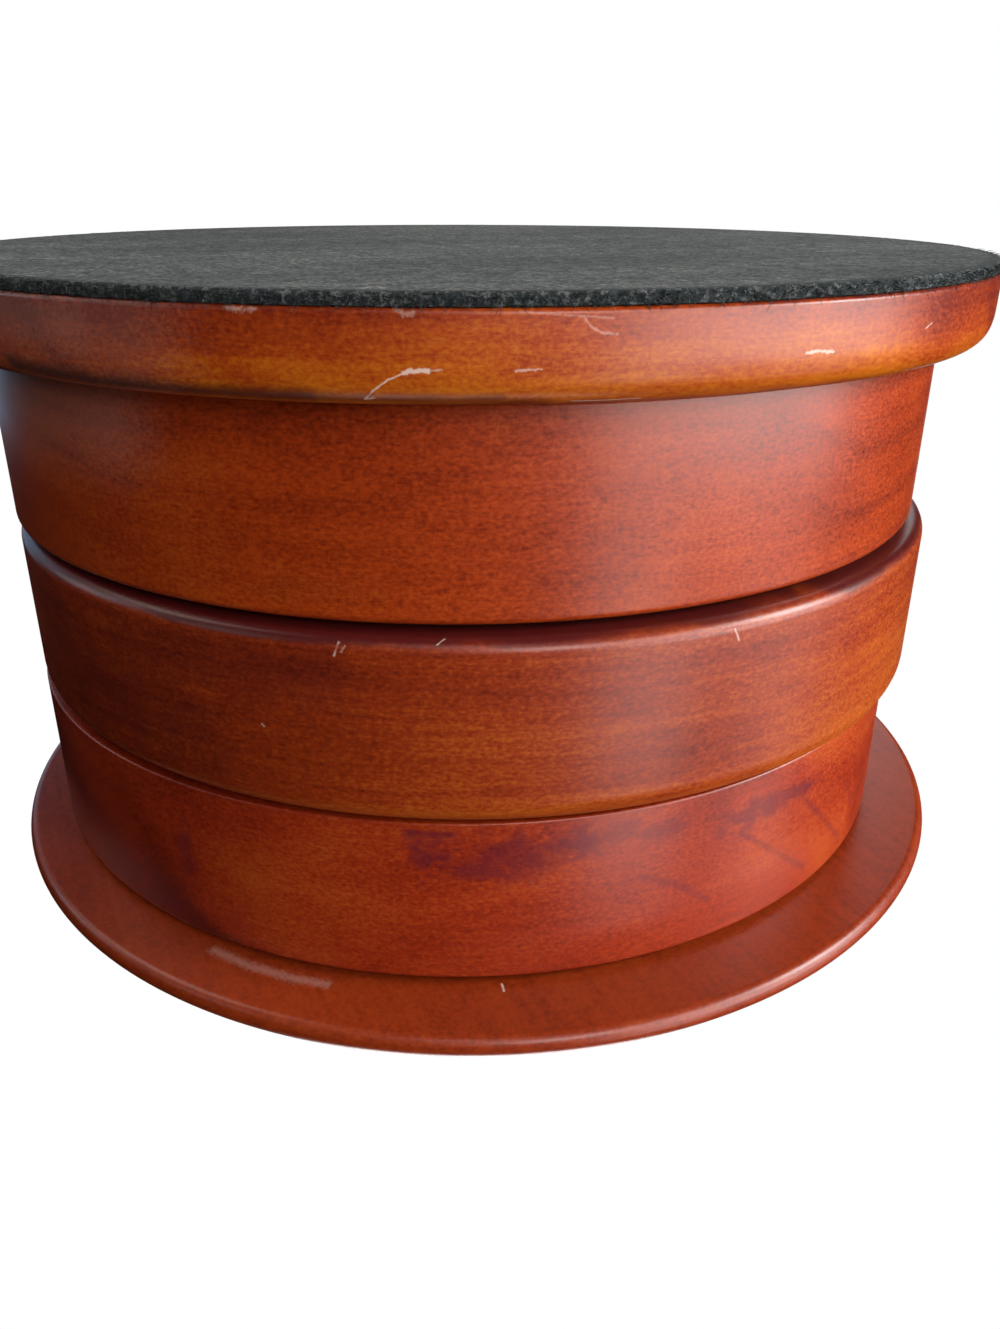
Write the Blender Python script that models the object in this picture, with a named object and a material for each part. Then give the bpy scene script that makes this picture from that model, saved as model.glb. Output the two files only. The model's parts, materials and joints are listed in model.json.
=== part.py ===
"""Swivel jewellery box: a felted plinth, three round trays and a lid, all held on one rod.

Units are metres and +Z is up. The origin is the middle of the felt's underside, the box
stands on its felt, and the rod stands on the +Y side. The lower tray is fixed to the
plinth. The middle tray, the upper tray and the lid each turn about the rod.
"""

import math

import bmesh
import bpy

# Clearances
FIT_GAP = 0.0003
TRAY_GAP = 0.0010
CUT_OVERRUN = 0.0020

# Trays
TRAY_RADIUS = 0.1000
TRAY_WALL = 0.0080
LOWER_TRAY_HEIGHT = 0.0342
MIDDLE_TRAY_HEIGHT = 0.0338
UPPER_TRAY_HEIGHT = 0.0331
TRAY_FLOOR_THICKNESS = 0.0030
TRAY_FLOOR_RISE = 0.0008
RIM_EASE = 0.0010
LOWER_TOP_ROUND = 0.0015
MIDDLE_BOTTOM_ROUND = 0.0025
MIDDLE_TOP_ROUND = 0.0050
UPPER_BOTTOM_ROUND = 0.0014
UPPER_TOP_ROUND = 0.0010

# Plinth and felt
PLINTH_OVERHANG = 0.0092
PLINTH_HEIGHT = 0.0135
PLINTH_BAND_HEIGHT = 0.0058
PLINTH_EDGE_ROUND = 0.0008
PLINTH_LEDGE = 0.0024
PLINTH_QUIRK = 0.0003
PLINTH_SHOULDER_SHARE = 0.79
FELT_THICKNESS = 0.0017
FELT_INSET = 0.0004

# Lid and its mirror
LID_OVERHANG = 0.0098
LID_THICKNESS = 0.0045
MIRROR_FROM_ROD = 0.0190
MIRROR_THICKNESS = 0.0018
MIRROR_SEAT_DEPTH = 0.0002

# Rod, bushes and fasteners
ROD_INSET = 0.0170
ROD_RADIUS = 0.0040
ROD_END_RISE = 0.0010
BUSH_WALL = 0.0012
BOSS_RADIUS = 0.0112
BOSS_RELIEF = 0.0002
SPACER_RADIUS = 0.0090
NUT_ACROSS_FLATS = 0.0130
NUT_THICKNESS = 0.0050
ROD_WASHER_RADIUS = 0.0080
ROD_WASHER_THICKNESS = 0.0016
COUNTERBORE_MARGIN = 0.0010
LID_SCREW_RADIUS = 0.0020
LID_SCREW_HEAD_RADIUS = 0.0040
LID_SCREW_HEAD_HEIGHT = 0.0022
LID_SCREW_HEAD_LAND = 0.0004
LID_SCREW_REACH = 0.0100
LID_SCREW_SINK = 0.0002
SLOT_WIDTH = 0.0010
SLOT_DEPTH = 0.0009
PLINTH_SCREW_RADIUS = 0.0017
PLINTH_SCREW_HEAD_RADIUS = 0.0035
PLINTH_SCREW_HEAD_HEIGHT = 0.0024
PLINTH_SCREW_SINK = 0.0030
PLINTH_SCREW_REACH = 0.0110
PLINTH_SCREW_COUNT = 4

# Linings, dividers and ring rolls
LINING_THICKNESS = 0.0012
LINING_RIM_DROP = 0.0030
PAD_THICKNESS = 0.0016
DIVIDER_THICKNESS = 0.0040
DIVIDER_HEIGHT = 0.0200
DIVIDER_ROUND = 0.0014
MIDDLE_DIVIDER_PLACE = 0.0080
UPPER_DIVIDER_PLACE = 0.0180
ROLL_FRONT_SPACE = 0.0222
ROLL_HEIGHT = 0.0150
ROLL_GAP = 0.0005
ROLL_COUNT = 6

# How far the pieces have been turned from closed, seen from above
MIDDLE_TRAY_TURN = math.radians(-2.8)
LID_TURN = math.radians(-3.7)

# Facets
ROUND_STEPS = 60
SMALL_STEPS = 16
ARC_STEPS = 3
FINE_ARC_STEPS = 5
QUARTER_TURN = math.pi / 2
SMOOTH_ANGLE = math.radians(32)

# Heights, from the felt up
PLINTH_BASE = FELT_THICKNESS + FIT_GAP
PLINTH_TOP = PLINTH_BASE + PLINTH_HEIGHT
LOWER_BASE = PLINTH_TOP + FIT_GAP
LOWER_RIM = LOWER_BASE + LOWER_TRAY_HEIGHT
MIDDLE_BASE = LOWER_RIM + TRAY_GAP
MIDDLE_RIM = MIDDLE_BASE + MIDDLE_TRAY_HEIGHT
UPPER_BASE = MIDDLE_RIM + TRAY_GAP
UPPER_RIM = UPPER_BASE + UPPER_TRAY_HEIGHT
LID_BASE = UPPER_RIM + TRAY_GAP
LID_TOP = LID_BASE + LID_THICKNESS

# Radii and places that follow from the sizes above
PLINTH_RADIUS = TRAY_RADIUS + PLINTH_OVERHANG
LID_RADIUS = TRAY_RADIUS + LID_OVERHANG
ROD_OFFSET = TRAY_RADIUS - ROD_INSET
MIRROR_RADIUS = ROD_OFFSET - MIRROR_FROM_ROD
TRAY_BORE = TRAY_RADIUS - TRAY_WALL
LINING_RADIUS = TRAY_BORE - FIT_GAP
LINING_BORE = LINING_RADIUS - LINING_THICKNESS
PAD_RADIUS = LINING_BORE - FIT_GAP
ROLLS_BACK = UPPER_DIVIDER_PLACE - DIVIDER_THICKNESS / 2 - ROLL_GAP
ROLLS_DEPTH = ROLLS_BACK + PAD_RADIUS - ROLL_FRONT_SPACE
ROLL_WIDTH = (ROLLS_DEPTH + ROLL_GAP) / ROLL_COUNT - ROLL_GAP
BUSH_BORE = ROD_RADIUS + FIT_GAP
BUSH_RADIUS = BUSH_BORE + BUSH_WALL
BUSH_SEAT = BUSH_RADIUS + FIT_GAP


def clear_scene():
    """Remove whatever the new file holds."""
    for old in list(bpy.data.objects):
        bpy.data.objects.remove(old, do_unlink=True)


def finish(name, colour, roughness, metallic=0.0):
    """Return a Principled material of one colour."""
    material = bpy.data.materials.new(name)
    material.use_nodes = True
    shader = material.node_tree.nodes["Principled BSDF"]
    shader.inputs["Base Color"].default_value = (*colour, 1.0)
    shader.inputs["Roughness"].default_value = roughness
    shader.inputs["Metallic"].default_value = metallic
    return material


def arc(centre, radii, start, end, steps):
    """Return the points of an elliptical arc, both ends included."""
    points = []
    for step in range(steps + 1):
        angle = start + (end - start) * step / steps
        points.append((centre[0] + radii[0] * math.cos(angle),
                       centre[1] + radii[1] * math.sin(angle)))
    return points


def full_quarter(centre, radii, shoulder_share):
    """Return a quarter of an oval with a full shoulder.

    At the shoulder it reaches this share of both radii, where an ellipse reaches 0.71.
    """
    points = []
    power = 2 * math.log(shoulder_share) / math.log(1 / 2)
    for x, y in arc((0, 0), (1, 1), 0, QUARTER_TURN, FINE_ARC_STEPS + 2):
        points.append((centre[0] + radii[0] * max(x, 0) ** power,
                       centre[1] + radii[1] * max(y, 0) ** power))
    return points


def place(name, mesh, material, carrier=None):
    """Make an object of a mesh, carried by an empty on the rod's axis or by the world."""
    mesh.shade_smooth()
    mesh.set_sharp_from_angle(angle=SMOOTH_ANGLE)
    piece = bpy.data.objects.new(name, mesh)
    bpy.context.collection.objects.link(piece)
    if material:
        mesh.materials.append(material)
    if carrier:
        piece.parent = carrier
        piece.location = (0, -ROD_OFFSET, 0)
    return piece


def turned(name, outline, material, carrier=None, centre=(0, 0), steps=ROUND_STEPS):
    """Turn a (radius, height) outline about a vertical axis.

    The outline runs up the outer side. It closes on itself, or starts and ends at radius 0,
    where a flat end becomes one face and a sloping end comes to a point.
    """
    form = bmesh.new()
    is_ring = outline[0][0] > 0
    flat_base = not is_ring and outline[0][1] == outline[1][1]
    flat_top = not is_ring and outline[-1][1] == outline[-2][1]
    rings = []
    for radius, height in outline[int(flat_base):len(outline) - int(flat_top)]:
        if radius == 0:
            rings.append([form.verts.new((centre[0], centre[1], height))] * steps)
            continue
        ring = []
        for step in range(steps):
            angle = 2 * math.pi * step / steps
            ring.append(form.verts.new((centre[0] + radius * math.cos(angle),
                                        centre[1] + radius * math.sin(angle), height)))
        rings.append(ring)
    pairs = list(zip(rings, rings[1:]))
    if is_ring:
        pairs.append((rings[-1], rings[0]))
    if flat_base:
        form.faces.new(rings[0][::-1])
    if flat_top:
        form.faces.new(rings[-1])
    for low, high in pairs:
        for step in range(steps):
            following = (step + 1) % steps
            corners = [low[step], low[following], high[following], high[step]]
            form.faces.new(list(dict.fromkeys(corners)))
    mesh = bpy.data.meshes.new(name)
    form.to_mesh(mesh)
    form.free()
    return place(name, mesh, material, carrier)


def prism(name, outline, start, end, material, carrier=None, along="Z"):
    """Stretch a flat outline, in (x, y) along Z or in (y, z) along X, from start to end."""
    form = bmesh.new()
    if along == "Z":
        corners = [form.verts.new((x, y, start)) for x, y in outline]
        reach = (0, 0, end - start)
    else:
        corners = [form.verts.new((start, y, z)) for y, z in outline]
        reach = (end - start, 0, 0)
    face = form.faces.new(corners)
    grown = bmesh.ops.extrude_face_region(form, geom=[face])
    moved = [item for item in grown["geom"] if isinstance(item, bmesh.types.BMVert)]
    bmesh.ops.translate(form, verts=moved, vec=reach)
    bmesh.ops.recalc_face_normals(form, faces=form.faces)
    mesh = bpy.data.meshes.new(name)
    form.to_mesh(mesh)
    form.free()
    return place(name, mesh, material, carrier)


def combine(target, other, operation):
    """Cut or join another shape, which then stays only as a wire guide."""
    other.hide_render = True
    other.display_type = "WIRE"
    step = target.modifiers.new(other.name, "BOOLEAN")
    step.operation = operation
    step.solver = "EXACT"
    step.object = other


def bore(target, name, radius, low, high, carrier=None, centre=(0, 0), steps=SMALL_STEPS):
    """Cut a round hole between two heights."""
    outline = [(0, low), (radius, low), (radius, high), (0, high)]
    cutter = turned(name, outline, None, carrier, centre, steps)
    combine(target, cutter, "DIFFERENCE")


def round_plate(radius, low, high):
    """Return the outline of a plain disc."""
    return [(0, low), (radius, low), (radius, high), (0, high)]


def round_ring(inner, outer, low, high):
    """Return the outline of a plain ring."""
    return [(inner, low), (outer, low), (outer, high), (inner, high)]


def boss_outline(grow):
    """Return the plan of the block round the rod, which runs back into the tray's wall."""
    radius = BOSS_RADIUS + grow
    points = arc((0, ROD_OFFSET), (radius, radius), math.pi, 2 * math.pi, 2 * FINE_ARC_STEPS)
    back = TRAY_RADIUS - TRAY_WALL / 2
    root = math.sqrt(back ** 2 - radius ** 2)
    return points + [(radius, root), (-radius, root)]


def boss_cutter(name, low, high, carrier):
    """Return a cutter that keeps a lining or a floor clear of the block round the rod."""
    return prism(name, boss_outline(FIT_GAP), low, high, None, carrier)


def tray_wall(name, base, rim, rounds, hole, material, carrier=None):
    """Make a tray's turned wall with the block that the rod passes through.

    rounds are the outer radii at the bottom and at the rim, and hole is the rod's hole.
    """
    bottom, top = rounds
    outline = [(TRAY_BORE, base)]
    outline += arc((TRAY_RADIUS - bottom, base + bottom), (bottom, bottom),
                   -QUARTER_TURN, 0, ARC_STEPS)
    outline += arc((TRAY_RADIUS - top, rim - top), (top, top), 0, QUARTER_TURN, ARC_STEPS)
    outline += arc((TRAY_BORE + RIM_EASE, rim - RIM_EASE), (RIM_EASE, RIM_EASE),
                   QUARTER_TURN, math.pi, 1)
    wall = turned(name, outline, material, carrier)
    block = prism(name + "_boss", boss_outline(0), base + BOSS_RELIEF, rim - BOSS_RELIEF,
                  None, carrier)
    combine(wall, block, "UNION")
    bore(wall, name + "_rod_hole", hole, base - CUT_OVERRUN, rim + CUT_OVERRUN, carrier,
         (0, ROD_OFFSET))
    return wall


def tray_floor(name, base, material, carrier):
    """Make the thin floor that is glued inside a tray's wall, and return its upper height."""
    low = base + TRAY_FLOOR_RISE
    high = low + TRAY_FLOOR_THICKNESS
    floor = turned(name, round_plate(TRAY_BORE - FIT_GAP, low, high), material, carrier)
    cutter = boss_cutter(name + "_cut", low - CUT_OVERRUN, high + CUT_OVERRUN, carrier)
    combine(floor, cutter, "DIFFERENCE")
    return high


def tray_lining(tray, floor_top, rim, material, carrier=None):
    """Line a tray with a band and a pad of cloth, and return the pad's upper height."""
    low = floor_top + FIT_GAP
    high = rim - LINING_RIM_DROP
    band = turned(tray + "_wall_lining", round_ring(LINING_BORE, LINING_RADIUS, low, high),
                  material, carrier)
    pad_top = low + PAD_THICKNESS
    pad = turned(tray + "_floor_pad", round_plate(PAD_RADIUS, low, pad_top), material, carrier)
    for piece in (band, pad):
        cutter = boss_cutter(piece.name + "_cut", low - CUT_OVERRUN, rim, carrier)
        combine(piece, cutter, "DIFFERENCE")
    return pad_top


def soften(piece, width):
    """Round every edge of a cloth-covered board."""
    edge = piece.modifiers.new("cloth_edge", "BEVEL")
    edge.width = width
    edge.segments = 2
    edge.limit_method = "ANGLE"


def chord(distance, half_width):
    """Return half the free length across a lined tray at a distance from its middle."""
    reach = abs(distance) + half_width
    return math.sqrt(PAD_RADIUS ** 2 - reach ** 2) - FIT_GAP


def cross_divider(name, place_y, base, material, carrier):
    """Make a divider that runs from side to side."""
    half = DIVIDER_THICKNESS / 2
    reach = chord(place_y, half)
    outline = [(place_y - half, base), (place_y + half, base),
               (place_y + half, base + DIVIDER_HEIGHT), (place_y - half, base + DIVIDER_HEIGHT)]
    board = prism(name, outline, -reach, reach, material, carrier, along="X")
    soften(board, DIVIDER_ROUND)


def front_divider(name, back_y, base, material, carrier):
    """Make a divider that runs from the cross divider to the front of the tray."""
    half = DIVIDER_THICKNESS / 2
    front_y = -chord(0, half)
    outline = [(-half, front_y), (half, front_y), (half, back_y), (-half, back_y)]
    board = prism(name, outline, base, base + DIVIDER_HEIGHT, material, carrier)
    soften(board, DIVIDER_ROUND)


def ring_rolls(base, material, carrier):
    """Make the cloth rolls that lie side by side in front of the upper tray's divider."""
    half = ROLL_WIDTH / 2
    for number in range(ROLL_COUNT):
        place_y = ROLLS_BACK - half - number * (ROLL_WIDTH + ROLL_GAP)
        outline = [(place_y - half, base), (place_y + half, base)]
        outline += arc((place_y, base + ROLL_HEIGHT - half), (half, half), 0, math.pi,
                       2 * ARC_STEPS)
        reach = chord(place_y, half)
        roll = prism(f"ring_roll_{number + 1}", outline, -reach, reach, material, carrier,
                     along="X")
        soften(roll, DIVIDER_ROUND)


def bush(name, base, rim, material, carrier):
    """Make the tube that lines a moving tray's rod hole."""
    outline = round_ring(BUSH_BORE, BUSH_RADIUS, base + BOSS_RELIEF, rim - BOSS_RELIEF)
    turned(name, outline, material, carrier, (0, ROD_OFFSET), SMALL_STEPS)


def spacer(name, under, material):
    """Make the thin washer that keeps two pieces apart on the rod."""
    outline = round_ring(BUSH_BORE, SPACER_RADIUS, under + FIT_GAP, under + TRAY_GAP - FIT_GAP)
    turned(name, outline, material, None, (0, ROD_OFFSET), SMALL_STEPS)


def plinth_screw_places():
    """Return the plan positions of the screws under the lower tray's wall."""
    radius = TRAY_RADIUS - TRAY_WALL / 2
    places = []
    for number in range(PLINTH_SCREW_COUNT):
        angle = 2 * math.pi * (number + 0.5) / PLINTH_SCREW_COUNT
        places.append((radius * math.cos(angle), radius * math.sin(angle)))
    return places


def build_felt(material):
    """Make the felt disc that the box stands on."""
    radius = PLINTH_RADIUS - FELT_INSET
    turned("felt_pad", round_plate(radius, 0, FELT_THICKNESS), material)


def build_plinth(material):
    """Make the plinth: an upright band, then an ovolo in to the lower tray."""
    band_top = PLINTH_BASE + PLINTH_BAND_HEIGHT
    neck = TRAY_RADIUS + PLINTH_LEDGE
    outline = [(0, PLINTH_BASE)]
    outline += arc((PLINTH_RADIUS - PLINTH_EDGE_ROUND, PLINTH_BASE + PLINTH_EDGE_ROUND),
                   (PLINTH_EDGE_ROUND, PLINTH_EDGE_ROUND), -QUARTER_TURN, 0, 2)
    outline += full_quarter((neck, band_top),
                            (PLINTH_RADIUS - neck, PLINTH_TOP - PLINTH_QUIRK - band_top),
                            PLINTH_SHOULDER_SHARE)
    outline += [(neck, PLINTH_TOP), (0, PLINTH_TOP)]
    plinth = turned("base_plinth", outline, material)
    pocket_depth = (ROD_END_RISE + NUT_THICKNESS + ROD_WASHER_THICKNESS + 2 * FIT_GAP)
    bore(plinth, "nut_pocket", ROD_WASHER_RADIUS + COUNTERBORE_MARGIN,
         PLINTH_BASE - CUT_OVERRUN, PLINTH_BASE + pocket_depth, None, (0, ROD_OFFSET))
    bore(plinth, "plinth_rod_hole", ROD_RADIUS + FIT_GAP, PLINTH_BASE - CUT_OVERRUN,
         PLINTH_TOP + CUT_OVERRUN, None, (0, ROD_OFFSET))
    for number, centre in enumerate(plinth_screw_places(), start=1):
        bore(plinth, f"plinth_screw_hole_{number}", PLINTH_SCREW_RADIUS + FIT_GAP,
             PLINTH_BASE - CUT_OVERRUN, PLINTH_TOP + CUT_OVERRUN, None, centre)
        bore(plinth, f"plinth_screw_pocket_{number}", PLINTH_SCREW_HEAD_RADIUS + FIT_GAP,
             PLINTH_BASE - CUT_OVERRUN,
             PLINTH_BASE + PLINTH_SCREW_SINK + PLINTH_SCREW_HEAD_HEIGHT, None, centre)


def build_lower_tray(wood, cloth):
    """Make the fixed tray, whose floor is the plinth."""
    wall = tray_wall("lower_tray_wall", LOWER_BASE, LOWER_RIM, (RIM_EASE, LOWER_TOP_ROUND),
                     ROD_RADIUS + FIT_GAP, wood)
    for number, centre in enumerate(plinth_screw_places(), start=1):
        bore(wall, f"lower_wall_screw_hole_{number}", PLINTH_SCREW_RADIUS + FIT_GAP,
             LOWER_BASE - CUT_OVERRUN, LOWER_BASE + PLINTH_SCREW_REACH + FIT_GAP,
             None, centre)
    tray_lining("lower", PLINTH_TOP, LOWER_RIM, cloth)


def build_plinth_screws(metal):
    """Make the screws that go up through the plinth into the lower tray's wall."""
    head_base = PLINTH_BASE + PLINTH_SCREW_SINK
    head_top = head_base + PLINTH_SCREW_HEAD_HEIGHT - FIT_GAP
    tip = LOWER_BASE + PLINTH_SCREW_REACH
    outline = [(0, head_base), (PLINTH_SCREW_HEAD_RADIUS, head_base),
               (PLINTH_SCREW_HEAD_RADIUS, head_top), (PLINTH_SCREW_RADIUS, head_top),
               (PLINTH_SCREW_RADIUS, tip - PLINTH_SCREW_RADIUS), (0, tip)]
    for number, centre in enumerate(plinth_screw_places(), start=1):
        turned(f"plinth_screw_{number}", outline, metal, None, centre, SMALL_STEPS)


def build_rod(metal, nylon):
    """Make the rod, its nut and washer under the plinth, and the spacers between trays."""
    centre = (0, ROD_OFFSET)
    low = PLINTH_BASE + ROD_END_RISE
    high = LID_BASE - FIT_GAP
    socket = LID_SCREW_RADIUS + FIT_GAP
    socket_floor = high - LID_SCREW_REACH - FIT_GAP
    outline = [(0, low), (ROD_RADIUS, low), (ROD_RADIUS, high), (socket, high),
               (socket, socket_floor), (0, socket_floor)]
    turned("pivot_rod", outline, metal, None, centre, SMALL_STEPS)
    corner = NUT_ACROSS_FLATS / math.sqrt(3)
    plan = arc(centre, (corner, corner), 0, 2 * math.pi, 6)[:-1]
    nut_top = low + NUT_THICKNESS
    nut = prism("rod_nut", plan, low, nut_top, metal)
    bore(nut, "rod_nut_hole", ROD_RADIUS + FIT_GAP, low - CUT_OVERRUN, nut_top + CUT_OVERRUN,
         None, centre)
    washer_low = nut_top + FIT_GAP
    washer = round_ring(ROD_RADIUS + FIT_GAP, ROD_WASHER_RADIUS, washer_low,
                        washer_low + ROD_WASHER_THICKNESS)
    turned("rod_washer", washer, metal, None, centre, SMALL_STEPS)
    spacer("lower_spacer", LOWER_RIM, nylon)
    spacer("middle_spacer", MIDDLE_RIM, nylon)
    spacer("upper_spacer", UPPER_RIM, nylon)


def build_middle_tray(wood, ply, cloth, nylon, carrier):
    """Make the middle tray, with one cross divider and one front divider."""
    tray_wall("middle_tray_wall", MIDDLE_BASE, MIDDLE_RIM,
              (MIDDLE_BOTTOM_ROUND, MIDDLE_TOP_ROUND), BUSH_SEAT, wood, carrier)
    floor_top = tray_floor("middle_tray_floor", MIDDLE_BASE, ply, carrier)
    pad_top = tray_lining("middle", floor_top, MIDDLE_RIM, cloth, carrier)
    bush("middle_bush", MIDDLE_BASE, MIDDLE_RIM, nylon, carrier)
    base = pad_top + FIT_GAP
    cross_divider("middle_cross_divider", MIDDLE_DIVIDER_PLACE, base, cloth, carrier)
    back = MIDDLE_DIVIDER_PLACE - DIVIDER_THICKNESS / 2 - FIT_GAP
    front_divider("middle_front_divider", back, base, cloth, carrier)


def build_upper_tray(wood, ply, cloth, nylon, carrier):
    """Make the upper tray, with ring rolls in front of its divider."""
    tray_wall("upper_tray_wall", UPPER_BASE, UPPER_RIM,
              (UPPER_BOTTOM_ROUND, UPPER_TOP_ROUND), BUSH_SEAT, wood, carrier)
    floor_top = tray_floor("upper_tray_floor", UPPER_BASE, ply, carrier)
    pad_top = tray_lining("upper", floor_top, UPPER_RIM, cloth, carrier)
    bush("upper_bush", UPPER_BASE, UPPER_RIM, nylon, carrier)
    base = pad_top + FIT_GAP
    cross_divider("upper_cross_divider", UPPER_DIVIDER_PLACE, base, cloth, carrier)
    ring_rolls(base, cloth, carrier)


def lid_screw_outline(grow):
    """Return the outline of the lid's countersunk screw, or of its hole, grown by a gap."""
    top = LID_TOP - LID_SCREW_SINK
    cone_base = top - LID_SCREW_HEAD_HEIGHT
    shank = LID_SCREW_RADIUS + grow
    head = LID_SCREW_HEAD_RADIUS + grow
    tip = LID_BASE - FIT_GAP - LID_SCREW_REACH
    return [(0, tip), (shank, tip), (shank, cone_base), (head, top - LID_SCREW_HEAD_LAND),
            (head, top), (0, top)]


def build_lid(wood, glass, metal, carrier):
    """Make the lid with its rounded edge, the mirror let into it and the screw on the rod."""
    half = LID_THICKNESS / 2
    outline = [(0, LID_BASE)]
    outline += arc((LID_RADIUS - half, LID_BASE + half), (half, half), -QUARTER_TURN,
                   QUARTER_TURN, 2 * ARC_STEPS)
    outline += [(0, LID_TOP)]
    lid = turned("lid_panel", outline, wood, carrier)
    seat_top = LID_BASE + MIRROR_SEAT_DEPTH + MIRROR_THICKNESS + FIT_GAP
    bore(lid, "mirror_recess", MIRROR_RADIUS + FIT_GAP, LID_BASE - CUT_OVERRUN, seat_top,
         carrier, steps=ROUND_STEPS)
    hole = lid_screw_outline(FIT_GAP)
    hole[-2] = (hole[-2][0], LID_TOP + CUT_OVERRUN)
    hole[-1] = (0, LID_TOP + CUT_OVERRUN)
    cutter = turned("lid_screw_hole", hole, None, carrier, (0, ROD_OFFSET), SMALL_STEPS)
    combine(lid, cutter, "DIFFERENCE")
    mirror_low = LID_BASE + MIRROR_SEAT_DEPTH
    turned("lid_mirror", round_plate(MIRROR_RADIUS, mirror_low, mirror_low + MIRROR_THICKNESS),
           glass, carrier)
    screw = turned("lid_screw", lid_screw_outline(0), metal, None, (0, ROD_OFFSET),
                   SMALL_STEPS)
    top = LID_TOP - LID_SCREW_SINK
    half_slot = SLOT_WIDTH / 2
    plan = [(-half_slot, top - SLOT_DEPTH), (half_slot, top - SLOT_DEPTH),
            (half_slot, top + CUT_OVERRUN), (-half_slot, top + CUT_OVERRUN)]
    plan = [(ROD_OFFSET + y, z) for y, z in plan]
    reach = LID_SCREW_HEAD_RADIUS + CUT_OVERRUN
    slot = prism("lid_screw_slot", plan, -reach, reach, None, along="X")
    combine(screw, slot, "DIFFERENCE")


def carrier_on_rod(name, turn):
    """Make the empty that carries a moving body, on the rod's axis."""
    empty = bpy.data.objects.new(name, None)
    bpy.context.collection.objects.link(empty)
    empty.location = (0, ROD_OFFSET, 0)
    empty.rotation_euler = (0, 0, turn)
    return empty


def main():
    """Build the box from the felt up."""
    clear_scene()
    wood = finish("cherry_stained_wood", (0.30, 0.085, 0.035), 0.35)
    ply = finish("stained_plywood", (0.22, 0.075, 0.035), 0.6)
    felt = finish("charcoal_felt", (0.045, 0.055, 0.060), 0.95)
    cloth = finish("lining_velvet", (0.055, 0.060, 0.066), 0.9)
    steel = finish("zinc_plated_steel", (0.62, 0.62, 0.60), 0.35, 1.0)
    brass = finish("brass", (0.72, 0.52, 0.24), 0.3, 1.0)
    nylon = finish("nylon", (0.80, 0.79, 0.75), 0.5)
    glass = finish("mirror_glass", (0.85, 0.87, 0.88), 0.05, 1.0)
    build_felt(felt)
    build_plinth(wood)
    build_plinth_screws(steel)
    build_lower_tray(wood, cloth)
    build_rod(steel, nylon)
    middle = carrier_on_rod("middle_tray_carrier", MIDDLE_TRAY_TURN)
    build_middle_tray(wood, ply, cloth, nylon, middle)
    upper = carrier_on_rod("upper_tray_carrier", 0)
    build_upper_tray(wood, ply, cloth, nylon, upper)
    lid = carrier_on_rod("lid_carrier", LID_TURN)
    build_lid(wood, glass, brass, lid)


main()
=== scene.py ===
"""Looks of the swivel jewellery box: wood under a stain, felt, velvet and the hardware of its rod.

The box stands on its felt. The camera looks up from below the floor and is rolled over, so
that the picture shows the box standing on its lid. The floor hides nothing from below.
"""

from __future__ import annotations

import json
import logging
import math
from dataclasses import dataclass, field
from enum import Enum
from typing import Callable, Mapping, Optional, Sequence, Union

import bmesh
import bpy
import numpy as np
from mathutils import Matrix, Vector, noise

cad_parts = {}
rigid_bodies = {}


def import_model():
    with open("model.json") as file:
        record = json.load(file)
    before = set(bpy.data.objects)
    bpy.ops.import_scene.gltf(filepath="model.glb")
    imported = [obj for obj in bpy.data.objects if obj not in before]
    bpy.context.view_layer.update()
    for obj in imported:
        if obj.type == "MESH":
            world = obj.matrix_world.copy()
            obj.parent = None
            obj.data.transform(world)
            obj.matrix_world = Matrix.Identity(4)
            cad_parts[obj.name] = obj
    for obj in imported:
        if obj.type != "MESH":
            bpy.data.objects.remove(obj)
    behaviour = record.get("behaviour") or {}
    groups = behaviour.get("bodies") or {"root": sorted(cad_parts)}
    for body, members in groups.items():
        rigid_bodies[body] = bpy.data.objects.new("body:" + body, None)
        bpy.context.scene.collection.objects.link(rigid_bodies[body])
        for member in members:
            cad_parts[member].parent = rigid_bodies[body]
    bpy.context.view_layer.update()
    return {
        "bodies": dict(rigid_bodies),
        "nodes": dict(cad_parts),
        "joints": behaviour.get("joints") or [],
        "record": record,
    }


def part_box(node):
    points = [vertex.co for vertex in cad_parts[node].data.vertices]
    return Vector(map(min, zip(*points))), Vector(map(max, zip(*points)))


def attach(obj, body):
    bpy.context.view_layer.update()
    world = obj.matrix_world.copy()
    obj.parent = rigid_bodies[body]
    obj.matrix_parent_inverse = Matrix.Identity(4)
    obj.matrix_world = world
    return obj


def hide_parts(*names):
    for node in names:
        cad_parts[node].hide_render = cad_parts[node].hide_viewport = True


LOG = logging.getLogger("jewellery_box")
MM = 0.001
PHOTO_WIDTH = 1000
PHOTO_HEIGHT = 1329
QUARTER = math.pi / 2
FULL_TURN = 2 * math.pi
ON_AXIS = 1e-7
SHARP_DEGREES = 38.0

Point2 = tuple[float, float]
Point3 = tuple[float, float, float]
Colour = tuple[float, float, float]
Feed = Union[float, Sequence[float], "Value"]


class Body(Enum):
    """The bodies that the joints move."""

    BASE = "base"
    MIDDLE = "middle_tray"
    UPPER = "upper_tray"
    LID = "lid"


class Slot(Enum):
    """The record's material slots."""

    WOOD = "stained_wood"
    PLYWOOD = "plywood"
    FELT = "felt"
    VELVET = "velvet"
    STEEL = "steel"
    BRASS = "brass"
    NYLON = "nylon"
    MIRROR = "mirror"


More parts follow.
